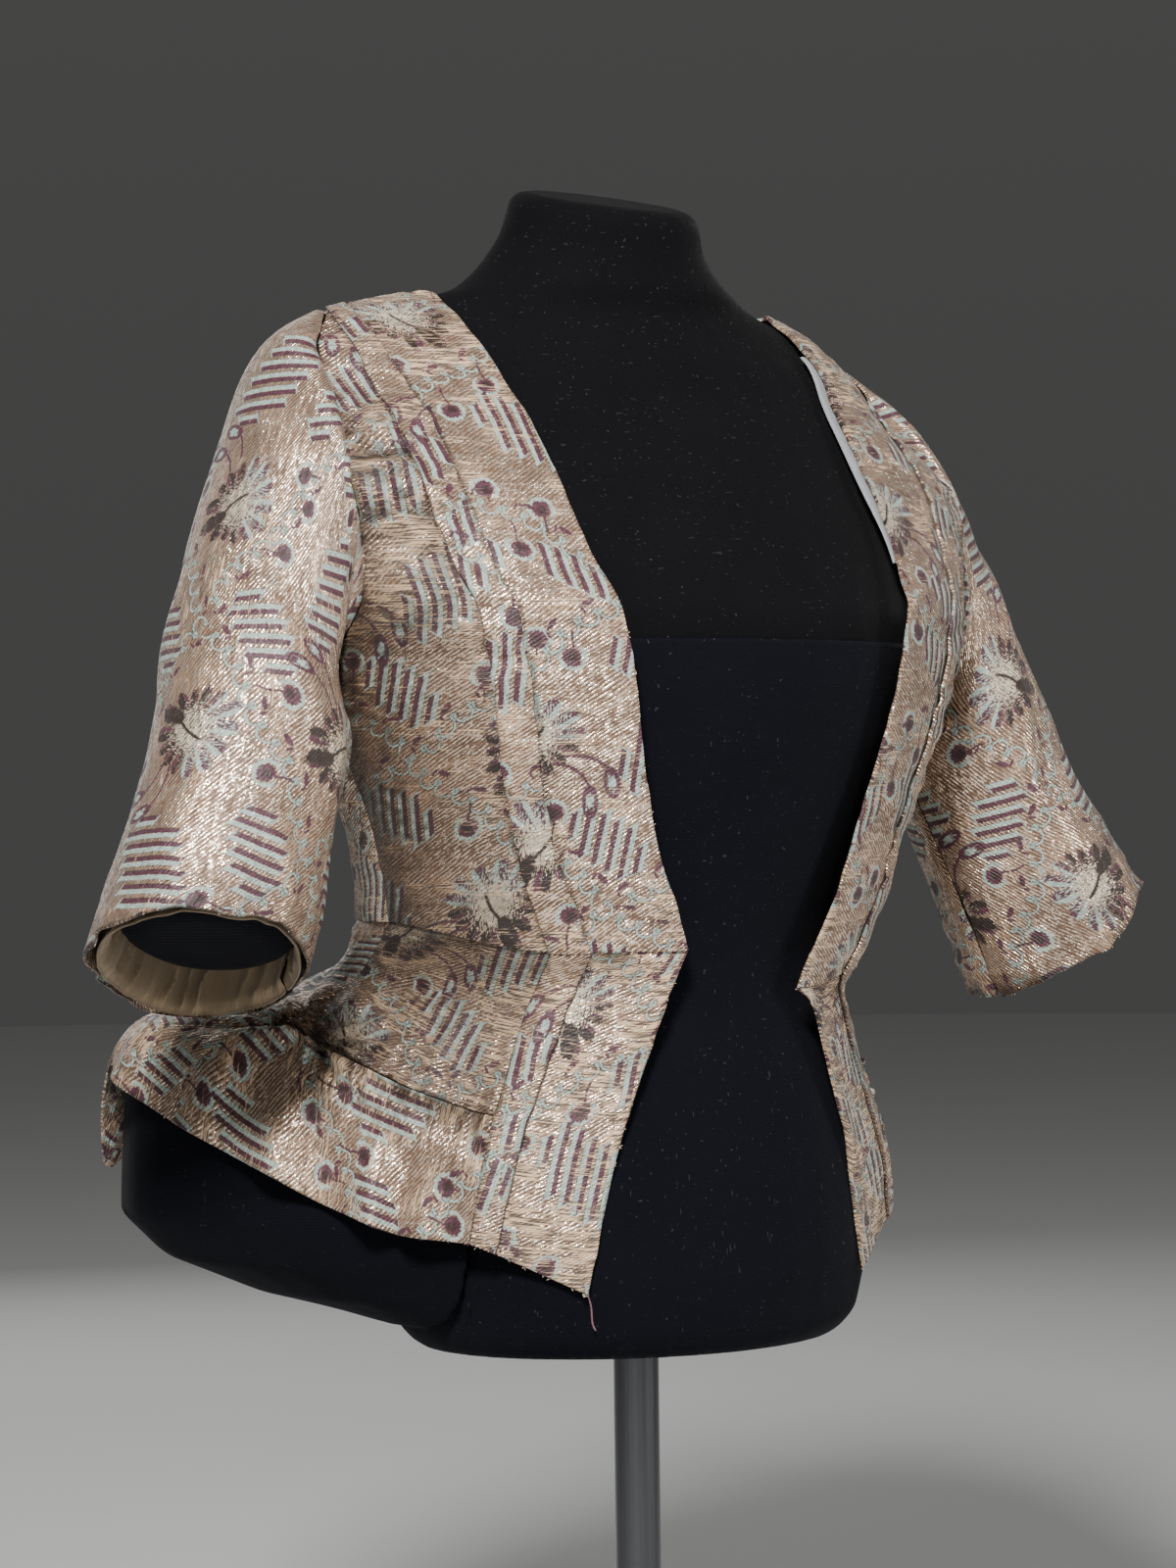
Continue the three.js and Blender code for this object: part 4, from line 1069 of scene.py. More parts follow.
def lining_finish(name, colour, shade, soiled):
    """Plain weave with slubs and some soiling; painted shade between gathers darkens it towards the shade
    colour.
    """
    finish = Finish(name, Roughness=0.85, Sheen_Weight=0.15, Sheen_Roughness=0.6)
    u, v = cloth_place(finish.tree)
    warp = waved(u, PLAIN_THREAD)
    weft = waved(v, PLAIN_THREAD)
    slub = grain(u, v, 9, 0.8, 2, 1.0)
    stain = grain(u, v, 18, 12, 3, 2.0)
    # the darkening mark pulls the colour towards the shade: painted shade between the gathers
    share = (slub * 0.7 + stain * 0.6 - 0.3 - attribute(finish.tree, "grime_and_shade")).clamp()
    base = tinted(share, shade, colour)
    finish.link("Base Color", tinted((stain - 0.5).step(0.02, 0.3) * 0.5, base, soiled))
    finish.bump(warp * weft * 0.1 + slub * 0.22)
    return finish.material


def knit_finish(name, colour, light, lint, rows=1.3, lint_share=0.7):
    """Fine dark jersey: soft rows of loops with a little lint."""
    finish = Finish(name, Roughness=0.95, Sheen_Weight=0.02, Sheen_Roughness=0.4,
                    Specular_IOR_Level=0.1)
    place = body_place(finish.tree)
    row = waved(place[2], rows)
    loop = cloud(place, (0.9, 0.9, 1.6), 1)
    broad = cloud(place, 55, 2, 3.0)
    colour_node = tinted((broad * 0.6 + loop * 0.5 + row * 0.15 - 0.25).clamp(), colour, light)
    speck = cloud(place, 2.0, 0, 20.0).step(0.80, 0.83) * lint_share
    hair = cloud(place, (1.0, 1.0, 6), 0, 40.0).step(0.81, 0.84) * lint_share
    finish.link("Base Color", tinted(speck.high(hair), colour_node, lint))
    finish.bump(row * 0.08 + loop * 0.14)
    return finish.material


def felt_finish(colour, light, lint):
    """Near-black felt: matted fibres with pale lint."""
    finish = Finish("form_felt", Roughness=0.95, Sheen_Weight=0.025, Sheen_Roughness=0.35,
                    Specular_IOR_Level=0.1)
    place = body_place(finish.tree)
    fibre = cloud(place, (0.8, 0.8, 0.8), 3)
    broad = cloud(place, 40, 3, 5.0)
    base = tinted((fibre * 0.7 + broad * 0.6 - 0.35).clamp(), colour, light)
    speck = cloud(place, 1.7, 0, 12.0).step(0.79, 0.82)
    fluff = cloud(place, (5, 5, 1.3), 0, 31.0).step(0.79, 0.82) * 0.6
    finish.link("Base Color", tinted(speck.high(fluff) * 0.75, base, lint))
    finish.bump(fibre * 0.35 + speck * 0.2)
    return finish.material


def steel_finish(name, colour, roughness, streak):
    """Brushed steel; streak gives the size of its scratches along each axis."""
    finish = Finish(name, Metallic=1.0, IOR=2.2)
    place = body_place(finish.tree)
    fine = cloud(place, streak, 2)
    broad = cloud(place, scaled(streak, 6), 2, 9.0)
    share = (fine * 0.6 + broad * 0.6 - 0.1).clamp()
    finish.link("Base Color", tinted(share, scaled(colour, 0.72), colour))
    finish.link("Roughness", (fine * 0.16 + broad * 0.1 + (roughness - 0.13)).clamp())
    finish.bump(fine * 0.012)
    return finish.material


def thread_finish(name, colour, light):
    """Twisted silk of a loose thread."""
    finish = Finish(name, Roughness=0.6, Sheen_Weight=0.3)
    place = body_place(finish.tree)
    twist = waved(place[0] + place[1] + place[2], TWIST)
    finish.link("Base Color", tinted(twist, colour, light))
    finish.bump(twist * 0.05)
    return finish.material


def floor_finish(colour):
    """Plain pale matt floor, faintly uneven."""
    finish = Finish("studio_floor", Roughness=0.85)
    place = body_place(finish.tree)
    soft = cloud(place, 350, 2)
    finish.link("Base Color", tinted(soft, scaled(colour, 0.96), colour))
    finish.bump(cloud(place, 3, 2, 4.0) * 0.05)
    return finish.material


# ---- what a user may change ------------------------------------------------------------------------
def length_setting(name, description, default, low, high):
    return FloatProperty(name=name, description=description, default=default, min=low, max=high,
                         unit="LENGTH", subtype="DISTANCE", precision=4)


def colour_setting(name, description, default):
    return FloatVectorProperty(name=name, description=description, default=default, size=3, min=0, max=1,
                               subtype="COLOR")


class BodiceSizes(bpy.types.PropertyGroup):
    """Thicknesses and mesh of the garment"""

    wall: length_setting("Brocade", "Wall of the brocade with its backing", 0.0016, 0.001, 0.003)
    lining: length_setting("Lining", "Wall of the plain linings", 0.0011, 0.0006, 0.002)
    mesh: length_setting("Mesh", "Distance between the points of the cloth", 0.003, 0.002, 0.02)
    thread: length_setting("Thread", "Radius of a loose thread", 0.0003, 0.0001, 0.001)
    creases: FloatProperty(name="Creases", description="Height of the creases, 1 as worn", default=1,
                           min=0, max=1.5, subtype="FACTOR")
    wear: FloatProperty(name="Wear", description="How much bare weft shows, 1 as worn", default=1,
                        min=0, max=1.5, subtype="FACTOR")


class BodiceColours(bpy.types.PropertyGroup):
    """Colours of the brocade"""

    ground: colour_setting("Ground", "Lit ribs of the ground", (0.54, 0.325, 0.195))
    shade: colour_setting("Ground shade", "Ground between the ribs", (0.14, 0.083, 0.053))
    # painted highlight in part: the metal thread's bright colour, set where it glints
    gleam: colour_setting("Metal thread", "Flat metal thread in the ground", (1.0, 0.81, 0.64))
    weft: colour_setting("Weft", "Bare weft where the cloth is worn", (0.64, 0.44, 0.268))
    gap: colour_setting("Weft gaps", "Dark lines between bare wefts", (0.085, 0.057, 0.038))
    cream: colour_setting("Cream", "Hearts of the large flowers", (0.62, 0.53, 0.40))
    pale: colour_setting("Aqua", "Pale silk of the bars and dots", (0.42, 0.52, 0.46))
    pale_shade: colour_setting("Aqua shade", "Shaded threads of the pale silk", (0.23, 0.29, 0.26))
    plum: colour_setting("Plum", "Plum silk of the bars and flowers", (0.10, 0.03, 0.045))
    plum_shade: colour_setting("Plum shade", "Shaded threads of the plum silk", (0.045, 0.013, 0.022))
    brown: colour_setting("Brown", "Dark brown petals", (0.024, 0.012, 0.008))
    # multiplied in where the cloth is soiled, and also where painted shade darkens creases and edges
    soil_and_shade: colour_setting("Soil", "What soiling leaves of the colour under it", (0.17, 0.145, 0.125))


class FormColours(bpy.types.PropertyGroup):
    """Colours of the form, the linings and the stand"""

    felt: colour_setting("Felt", "Cover of the form", (0.0024, 0.0024, 0.003))
    jersey: colour_setting("Jersey", "Band round the form", (0.0018, 0.0021, 0.0038))
    cover: colour_setting("Pad cover", "Cover of the pads", (0.0015, 0.0018, 0.0032))
    lint: colour_setting("Lint", "Lint on the dark cloths", (0.03, 0.028, 0.03))
    neck_lining: colour_setting("Neck lining", "Lining beside the neck", (0.36, 0.37, 0.385))
    cuff_lining: colour_setting("Cuff lining", "Lining of the cuffs", (0.50, 0.35, 0.19))
    # painted reflection: the pole's steel is made dark, standing in for dark surroundings in its reflection
    steel: colour_setting("Pole", "Brushed steel of the pole", (0.09, 0.092, 0.098))
    plate: colour_setting("Plate", "Satin steel of the base plate", (0.36, 0.37, 0.385))


class StudioSettings(bpy.types.PropertyGroup):
    """Camera, floor and lights"""

    azimuth: FloatProperty(name="Azimuth", description="Camera's turn from the front",
                           default=math.radians(-36), unit="ROTATION", subtype="ANGLE")
    distance: length_setting("Distance", "Camera's distance from the pole", 2.3, 1, 10)
    height: length_setting("Height", "Camera's height over the floor", 0.605, 0, 3)
    view_width: length_setting("View", "Width of the view at the pole", 0.6486, 0.2, 3)
    floor: colour_setting("Floor", "Pale floor and surroundings", (0.72, 0.72, 0.71))
    key: FloatProperty(name="Key light", description="Power of the key light", default=128, min=0,
                       max=500, unit="POWER")
    fill: FloatProperty(name="Fill light", description="Power of the fill light", default=7, min=0,
                        max=500, unit="POWER")


# ---- making the pieces -----------------------------------------------------------------------------
def finish_of(name, make):
    """A finish by name, made the first time it is asked for."""
    return bpy.data.materials.get(name) or make()


def brocade(context):
    """The one brocade that every piece of the garment is cut from."""
    colours = context.scene.bodice_colours
    return finish_of("figured_brocade", lambda: brocade_finish(colours))


def coat(thing, material):
    """Gives an object one finish."""
    thing.data.materials.clear()
    thing.data.materials.append(material)


def placed(piece, node, material):
    """Gives a piece its finish and its place in the model."""
    coat(piece, material)
    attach(piece, "root")
    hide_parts(node)
    return piece


def sheet_piece(cloth, part, side, word, wall, lift, material):
    node = part + "_" + word
    piece = placed(cloth.mesh(part + "_cloth_" + word, side, wall, lift), node, material)


def brocade_piece(context, cloth, part, side, word, layer=0):
    """A sheet of brocade; layer 1 is laid on the brocade below it."""
    wall = wall_of(context)
    sheet_piece(cloth, part, side, word, wall, layer * (LAID_ON + wall), brocade(context))


def wall_of(context):
    """Wall of the brocade in millimetres."""
    return context.scene.bodice_sizes.wall * 1000


def mesh_step(context):
    """Distance between the points of the cloth in millimetres."""
    return context.scene.bodice_sizes.mesh * 1000 * 1


def body_panels(context, part, start, end, dress, shift=(0, 0), laid_on=None):
    """One panel of the body on each side, between two lines of angles."""
    sizes, step = context.scene.bodice_sizes, mesh_step(context)
    rows = rows_between(WAIST_LEVEL, NECK_POINT, step)
    for side, word in SIDES:
        cloth = body_cloth(side, start, end, rows, step, added(shift, BODY_CUT[side]))
        dress(cloth, side)
        cloth.relief *= sizes.creases
        cloth.worn *= sizes.wear
        if laid_on:
            brocade_piece(context, cloth, part, side, word, 1)
        else:
            brocade_piece(context, cloth, part, side, word)


def added(place, more):
    return place[0] + more[0], place[1] + more[1]


# Each of these adds a piece's own folds, wear and soiling, and some add painted shade in creases and
# beside raised edges. Lengths are in millimetres, levels are heights over the floor, and each noise ends
# with its seed.
def dress_front(cloth, side):
    """Wear and soiling of the front band, and a painted shadow beside its robing."""
    low = ease((600 - cloth.level) / 60)
    near_shoulder = 0.5 * ease((cloth.level - 775) / 60)
    cloth.worn += near_shoulder + 0.2 * fading(cloth.left, 5) + 0.35 * low * fading(cloth.left, 16)
    beside_robing = bell(cloth.left - BAND_WIDTH + 0.6, 1.6)
    # painted shadow in a thin line beside the raised robing, and darker along the open edge
    cloth.grime_and_shade += 0.8 * beside_robing + 0.35 * fading(cloth.left, 1.2)
    cloth.relief += seam_puckers(cloth.foot, cloth.across, 1.2, 6, 71 + side)
    wander = noise(cloth.down, cloth.across, 15, 90, 83 + side)
    cloth.swayed(0.5 * wander * fading(cloth.left, 12))


def dress_side_front(cloth, side):
    """Wear under the arm and beside the robing, painted shade below the armhole and a painted shadow beside
    the robing.
    """
    underarm = bell(cloth.level - 735, 55)
    low = ease((640 - cloth.level) / 60)
    cloth.worn += 0.75 * underarm * ease(cloth.left / 14) + 0.45 * low * fading(cloth.left, 30)
    cloth.worn += 0.5 * fading(cloth.left, 16)
    # painted shade: in the valleys of the crushed cloth by the armhole, and over the cloth below the
    # armhole and towards the side seam, where the sleeve shades it
    shaded = bell(cloth.level - 735, 60) * fading(cloth.right, 30)
    valley = 1 - crumple(side, cloth.body_u, cloth.level)
    crushed = beside_armhole(cloth.body_u, cloth.level, 26, 48)
    cloth.grime_and_shade += (1.4 if side == RIGHT else 0.4) * crushed * valley ** 2
    cloth.grime_and_shade += 1.1 * fading(cloth.right, 75) * ease((725 - cloth.level) / 45)
    # a thin painted shadow beside the raised robing, a darker side seam, and painted shade below the
    # armhole
    beside_robing = bell(cloth.left - robing_width(cloth.level) / 2 - 0.6, 0.9)
    cloth.grime_and_shade += 0.5 * beside_robing + 0.5 * fading(cloth.right, 4) + 0.3 * shaded
    cloth.relief += seam_puckers(cloth.foot, cloth.across, 1.2, 6, 73 + side)


def dress_robing(cloth, side):
    """The robing's edges are turned under, frayed and slightly wavy."""
    near = np.minimum(cloth.left, cloth.right)
    wander = noise(cloth.down, cloth.across, 17, 60, 77 + side)
    # darker turned edges: soiling, and a painted shadow along the raised edges
    cloth.grime_and_shade += (0.6 if side == RIGHT else 0.3) * (fading(near, 0.6) + 0.3 * fading(near, 3))
    cloth.worn += 0.3 * (1 + wander) * fading(near, 6) + 0.25 * ease((cloth.level - 760) / 60)
    buckled = noise(cloth.down, cloth.across, 9, 12, 79 + side)
    cloth.relief += 0.9 * buckled * ease((cloth.level - 600) / 60)
    cloth.relief += 0.7 * noise(cloth.down, cloth.across, 6, 30, 81 + side)
    cloth.swayed(0.9 * noise(cloth.down, cloth.across, 8, 14, 85 + side))


def dress_back(cloth, side):
    """Wear at the shoulders and soiling along the seams of the back."""
    cloth.worn += 0.2 + 0.3 * ease((cloth.level - 800) / 60)
    cloth.grime_and_shade += 0.4 * fading(cloth.right, 2.5) + 0.3 * fading(cloth.left, 3)
    cloth.relief += seam_puckers(cloth.foot, cloth.across, 0.8, 7, 75 + side)


def sleeve_relief(cloth, side):
    """Soft folds of a sleeve: gathers at the cap, drags at the elbow, puckers at the cuff."""
    run, around = cloth.run, cloth.around
    height = 1.2 + 1.3 * noise(around, run, 34, 60, 31 + side) + 0.6 * noise(around, run, 15, 21, 33 + side)
    height = height + creases(around, run, SLEEVE_CREASES[side])
    height = height + 1.3 * fading(cloth.top, 22) * noise(around, run, 9, 60, 35 + side)
    height = height + 2.2 * fading(cloth.foot, 16) * noise(around, run, 11, 40, 37 + side)
    crushed = 0.8 if side == RIGHT else 3.6
    height = height + crushed * fading(cloth.foot, 30) * cuff_crumple(cloth, side)
    return height * ease(cloth.top / 6)


def cuff_crumple(cloth, side):
    """Crests of the crushed cloth near the cuff, from 0 to 1."""
    return ridged(cloth.around, cloth.run, 26, 15, 63 + side)


def cuff_edge(cloth, side):
    """Pushes the cuff in and out along the arm, so that its edge is not level."""
    push = 2.2 if side == RIGHT else 3.5
    level = np.zeros_like(cloth.around)
    wave = noise(cloth.around, level, 24, 1, 39 + side) + 0.4 * noise(cloth.around, level, 8, 1, 45)
    cloth.points += cloth.axis * (push * wave * fading(cloth.foot, 22))[..., None]


# length round the sleeve and along it at both ends of each crease, its width and height
SLEEVE_CREASES = {
    RIGHT: (
        (40, 60, 95, 150, 9, 2.5), (-10, 70, -60, 160, 12, 2.0), (70, 190, 105, 245, 8, 2.6),
        (20, 210, 60, 290, 14, 2.2), (-40, 220, -20, 300, 12, 2.0), (100, 120, 120, 190, 8, 2.0),
    ),
    LEFT: (
        (30, 40, 84, 120, 10, 2.5), (66, 110, 96, 190, 8, 3.0), (92, 170, 60, 250, 8, 3.0),
        (40, 200, 20, 280, 12, 2.2), (-30, 80, -60, 180, 12, 2.0), (10, 240, 64, 300, 7, 2.4),
    ),
}


def at_waist(line):
    """Angle at the waist seam where one of the front's lines meets the skirt."""
    return float(line(np.array([float(WAIST_LEVEL)]))[0])


def skirt_relief(cloth, side):
    """Folds of the skirt, worked out from its own lines so that laid-on pieces follow them."""
    degrees, t = np.degrees(cloth.angle), cloth.t
    height = 1.0 + noise(degrees, t, 7, 1.1, 51 + side)
    height = height + 0.6 * noise(degrees, t, 3.0, 0.35, 53 + side)
    gathers = noise(degrees, t * 0.15, 1.25, 1, 55 + side)
    gathers = gathers + 0.6 * noise(degrees, t * 0.2, 0.7, 1, 57 + side)
    flank = ease((degrees - 42) / 6) * ease((104 - degrees) / 20)
    beside_yoke = fading(np.abs(t - YOKE_RING - 0.25), 0.45) * flank
    height = height + 3.0 * beside_yoke * (0.5 + gathers)
    along_seam, down = (degrees - HIP_POINT[0]) / 20, t - HIP_POINT[1]
    hip = np.hypot(along_seam, down)
    rays = np.sin(np.arctan2(down * 1.6, along_seam) * 11)
    height = height + 4.0 * rays * np.exp(-hip * 1.1) * ease(hip / 0.3)
    return height * ease(t / 0.35)


def skirt_panels(context, part, angles, rings, shift, held, dress, turned=False, laid_on=None):
    """One panel of the skirt on each side, between two angles of the waist seam and two rings."""
    sizes = context.scene.bodice_sizes
    step = mesh_step(context) * (CLOSE_GATHERS if held == "gathered" else 1)
    for side, word in SIDES:
        cloth = skirt_cloth(side, *angles, *rings, step, turned, added(shift, SKIRT_CUT[side]))
        cloth.relief += skirt_relief(cloth, side)
        dress(cloth, side)
        cloth.relief *= sizes.creases
        cloth.worn *= sizes.wear
        brocade_piece(context, cloth, part, side, word, 1 if laid_on else 0)


def dress_skirt_front(cloth, side):
    """The skirt's front is worn bare, most along its edge and hem."""
    cloth.worn += 0.5 + 0.4 * fading(cloth.left, 9) + 0.4 * fading(cloth.foot, 20)
    # painted shadow in a thin line beside the raised robing; darker at the hem and the open edge
    beside_robing = bell(cloth.left - BAND_WIDTH + 0.8, 1.1)
    cloth.grime_and_shade += 0.9 * beside_robing + 0.5 * fading(cloth.foot, 1.5) + 0.3 * fading(cloth.left, 1.2)
    wander = noise(cloth.down, cloth.across, 11, 90, 87 + side)
    cloth.swayed(0.7 * wander * fading(cloth.left, 12))


def dress_skirt_robing(cloth, side):
    """Dark edges of the robing's lower part: soiling, and a painted shadow along the raised edges."""
    near = np.minimum(cloth.left, cloth.right)
    cloth.worn += 0.3 + 0.3 * fading(cloth.foot, 30)
    # darker edges: soiling, and a painted shadow along the raised edges
    cloth.grime_and_shade += 1.0 * fading(near, 0.9) + 0.25 * fading(near, 3)
    cloth.relief += 0.5 * noise(cloth.down, cloth.across, 7, 20, 89 + side)
    cloth.swayed(0.7 * noise(cloth.down, cloth.across, 9, 40, 91 + side))


def dress_yoke(cloth, side):
    """The yoke is bare beside the front seam; painted shade darkens all of it, more towards the hip."""
    cloth.worn += 0.45 + 0.55 * fading(cloth.left, 26)
    cloth.grime_and_shade += 0.4 * fading(cloth.left, 5) + 0.3 * fading(cloth.foot, 4) + 0.4 * fading(cloth.top, 3)
    # painted shade: the whole yoke darker, more towards the hip, under the sleeve and the bust
    cloth.grime_and_shade += 0.35 + 0.3 * ease(cloth.left / 60)
    cloth.relief += 1.1 * noise(cloth.across, cloth.down, 6, 40, 99 + side) * fading(cloth.foot, 12)


def dress_flounce(cloth, side):
    """Narrow gathers below the flounce's seam, rubbed on their crests, with painted shade between them."""
    cloth.worn += 0.6 * fading(cloth.top, 9) + 0.15
    cloth.grime_and_shade += 0.4 * fading(cloth.foot, 1.5)
    cloth.relief += 0.8 * noise(cloth.across, cloth.down, 13, 30, 93 + side) * fading(cloth.foot, 25)
    pulled = cloth.across + 3 * noise(cloth.across, cloth.down, 15, 9, 98)
    crest = ridged(pulled, cloth.down, 6, 60, 97 + side) ** 1.5
    near = fading(cloth.top, 13)
    cloth.relief += 4.4 * crest * near * (0.4 + 0.6 * ease(cloth.top / 1.5))
    # painted shade between the gathers
    cloth.grime_and_shade += 1.2 * (1 - crest) * near
    cloth.worn += 1.2 * crest * near


def dress_skirt_back(cloth, side):
    """Light wear at the hem of the skirt's back."""
    cloth.worn += 0.15 + 0.2 * fading(cloth.foot, 12)
    cloth.grime_and_shade += 0.4 * fading(cloth.foot, 2) + 0.4 * fading(cloth.top, 3)
    cloth.relief += 0.8 * noise(cloth.across, cloth.down, 17, 30, 95 + side) * fading(cloth.foot, 30)


# ---- the form --------------------------------------------------------------------------------------
def softened(context, node, name, voxel, rounds):
    """A closely meshed and smoothed copy of a CAD node's shape, in metres."""
    piece = bpy.data.objects.new(name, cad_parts[node].data.copy())
    context.scene.collection.objects.link(piece)
    remesh = piece.modifiers.new("even", "REMESH")
    remesh.mode, remesh.voxel_size = "VOXEL", voxel * 1
    smoother = piece.modifiers.new("soft", "SMOOTH")
    smoother.factor, smoother.iterations = 0.5, rounds
    settled(context, piece)
    piece.data.shade_smooth()
    return piece


def settled(context, piece):
    """Puts what a piece's modifiers make of it in place of its mesh."""
    made = bpy.data.meshes.new_from_object(piece.evaluated_get(context.evaluated_depsgraph_get()))
    piece.modifiers.clear()
    piece.data = made


def moved_out(piece, amount):
    """Moves every point of a piece along its normal by amount(points), in millimetres."""
    mesh = piece.data
    count = len(mesh.vertices)
    points, normals = np.zeros(count * 3), np.zeros(count * 3)
    mesh.vertices.foreach_get("co", points)
    mesh.vertex_normals.foreach_get("vector", normals)
    points, normals = points.reshape(-1, 3), normals.reshape(-1, 3)
    points += normals * amount(points * 1000)[:, None] / 1000
    mesh.vertices.foreach_set("co", points.ravel())
    mesh.update()


def lumps(points, size, seed):
    """Smooth noise from -1 to 1 through space, with cells of the given size."""
    x, y, z = points.T / size
    first = noise(x + 0.37 * z, y + 0.21 * z, 1, 1, seed)
    second = noise(y - 0.29 * x, z + 0.33 * x, 1, 1, seed + 1)
    return (first + second) / 2


class BODICE_OT_back(bpy.types.Operator):
    """Two fitted back panels with a seam down the middle"""

    bl_idname = "bodice.back"
    bl_label = "Back"

    def execute(self, context):
        body_panels(context, "back", side_of_back, centre_back, dress_back)
        return {"FINISHED"}


class BODICE_OT_side_front(bpy.types.Operator):
    """Side fronts, from the robing's seam to the side seam and the armhole"""

    bl_idname = "bodice.side_front"
    bl_label = "Side fronts"

    def execute(self, context):
        body_panels(context, "side_front", front_seam, side_of_front, dress_side_front)
        return {"FINISHED"}


class BODICE_OT_front(bpy.types.Operator):
    """Front bands beside the opening"""

    bl_idname = "bodice.front"
    bl_label = "Fronts"

    def execute(self, context):
        body_panels(context, "front", open_edge, front_seam, dress_front)
        return {"FINISHED"}


class BODICE_OT_robing(bpy.types.Operator):
    """Narrow bands laid over the front seams"""

    bl_idname = "bodice.robing"
    bl_label = "Robings"

    def execute(self, context):
        body_panels(context, "robing", robing_inner, robing_outer, dress_robing, (13, 55), "front")
        return {"FINISHED"}


class BODICE_OT_neck_lining(bpy.types.Operator):
    """Plain lining that shows past the left neck edge"""

    bl_idname = "bodice.neck_lining"
    bl_label = "Neck lining"

    def execute(self, context):
        colours = context.scene.form_colours
        sizes = context.scene.bodice_sizes
        pale = tuple(colours.neck_lining)
        material = lining_finish("neck_lining", pale, scaled(pale, 0.7), scaled(pale, 0.5))
        rows = rows_between(LINING_LOW, LINING_HIGH, mesh_step(context))
        cloth = body_cloth(LEFT, lining_start, lining_end, rows, 1.7)
        cloth.relief = np.zeros_like(cloth.relief)
        lift = -wall_of(context) - LAID_ON
        sheet_piece(cloth, "neck_lining", LEFT, "left", sizes.lining * 1000, lift, material)
        return {"FINISHED"}


class BODICE_OT_sleeves(bpy.types.Operator):
    """Elbow sleeves, each with a seam along the underside"""

    bl_idname = "bodice.sleeves"
    bl_label = "Sleeves"

    def execute(self, context):
        sizes = context.scene.bodice_sizes
        for side, word in SIDES:
            cloth = sleeve_cloth(side, 0, 1, mesh_step(context))
            cloth.u, cloth.v = added((cloth.u, cloth.v), SLEEVE_CUT[side])
            cloth.relief += sleeve_relief(cloth, side) * sizes.creases
            cuff_edge(cloth, side)
            rubbed = np.exp(-(((cloth.run - 80) / 45) ** 2 + ((cloth.around - 40) / 50) ** 2))
            cloth.worn += (0.55 * rubbed - 0.3 + 0.5 * fading(cloth.foot, 10)) * sizes.wear
            cloth.grime_and_shade += 0.5 * fading(cloth.top, 2.5) + 0.7 * fading(cloth.foot, 1.5)
            # painted shade in the valleys of the crushed cloth near the cuff
            valley = 1 - cuff_crumple(cloth, side)
            cloth.grime_and_shade += (0.4 if side == RIGHT else 1.1) * valley * fading(cloth.foot, 26)
            brocade_piece(context, cloth, "sleeve", side, word)
        return {"FINISHED"}


class BODICE_OT_sleeve_linings(bpy.types.Operator):
    """Tan linings inside the cuffs"""

    bl_idname = "bodice.sleeve_linings"
    bl_label = "Cuff linings"

    def execute(self, context):
        sizes, colours = context.scene.bodice_sizes, context.scene.form_colours
        tan = tuple(colours.cuff_lining)
        material = lining_finish("cuff_lining", tan, scaled(tan, 0.3), scaled(tan, 0.4))
        step = mesh_step(context) * CLOSE_LINING
        for side, word in SIDES:
            cloth = sleeve_cloth(side, 1 - CUFF_LINING_DEPTH, 1, step, wall_of(context) + LAID_ON)
            outer = sleeve_relief(cloth, side) * sizes.creases
            cuff_edge(cloth, side)
            bent = cloth.around + 3 * noise(cloth.around, cloth.run, 16, 12, 47 + side)
            crest = ridged(bent, cloth.run, 5, 60, 41 + side) ** 1.5
            broad = noise(bent, cloth.run, 13, 30, 43)
            depth = ease(cloth.foot / 7)
            cloth.relief += np.minimum(outer, 0.8) - 1.0 - (3.4 * crest + 1.5 * (1 + broad)) * depth
            # painted shade between the gathers, and darker at the cuff's edge
            cloth.grime_and_shade += (0.75 * (1 - crest) + 0.2 * broad) * depth + 0.8 * fading(cloth.foot, 1.2)
            sheet_piece(cloth, "sleeve_lining", side, word, sizes.lining * 1000, 0, material)
        return {"FINISHED"}


class BODICE_OT_skirt_front(bpy.types.Operator):
    """Front ends of the skirt below the waist seam"""

    bl_idname = "bodice.skirt_front"
    bl_label = "Skirt fronts"

    def execute(self, context):
        skirt_panels(context, "skirt_front", (at_waist(open_edge), at_waist(front_seam)), (0, HEM),
                     (12, 40), "hung", dress_skirt_front)
        return {"FINISHED"}


class BODICE_OT_skirt_robing(bpy.types.Operator):
    """The robings' continuation down the skirt"""

    bl_idname = "bodice.skirt_robing"
    bl_label = "Skirt robings"

    def execute(self, context):
        skirt_panels(context, "skirt_robing", (at_waist(robing_inner), at_waist(robing_outer)),
                     (0, HEM), (90, 15), "laid", dress_skirt_robing, laid_on="skirt_front")
        return {"FINISHED"}


class BODICE_OT_hip_yoke(bpy.types.Operator):
    """Smooth upper part of the skirt over the hip"""

    bl_idname = "bodice.hip_yoke"
    bl_label = "Hip yokes"

    def execute(self, context):
        skirt_panels(context, "hip_yoke", (at_waist(front_seam), QUARTER), (0, YOKE_RING),
                     (-40, 95), "draped", dress_yoke)
        return {"FINISHED"}


class BODICE_OT_flounce(bpy.types.Operator):
    """Gathered lower part of the skirt over the hip"""

    bl_idname = "bodice.flounce"
    bl_label = "Flounces"

    def execute(self, context):
        skirt_panels(context, "flounce", (at_waist(front_seam), QUARTER), (YOKE_RING, HEM),
                     (30, -20), "gathered", dress_flounce, turned=True)
        return {"FINISHED"}


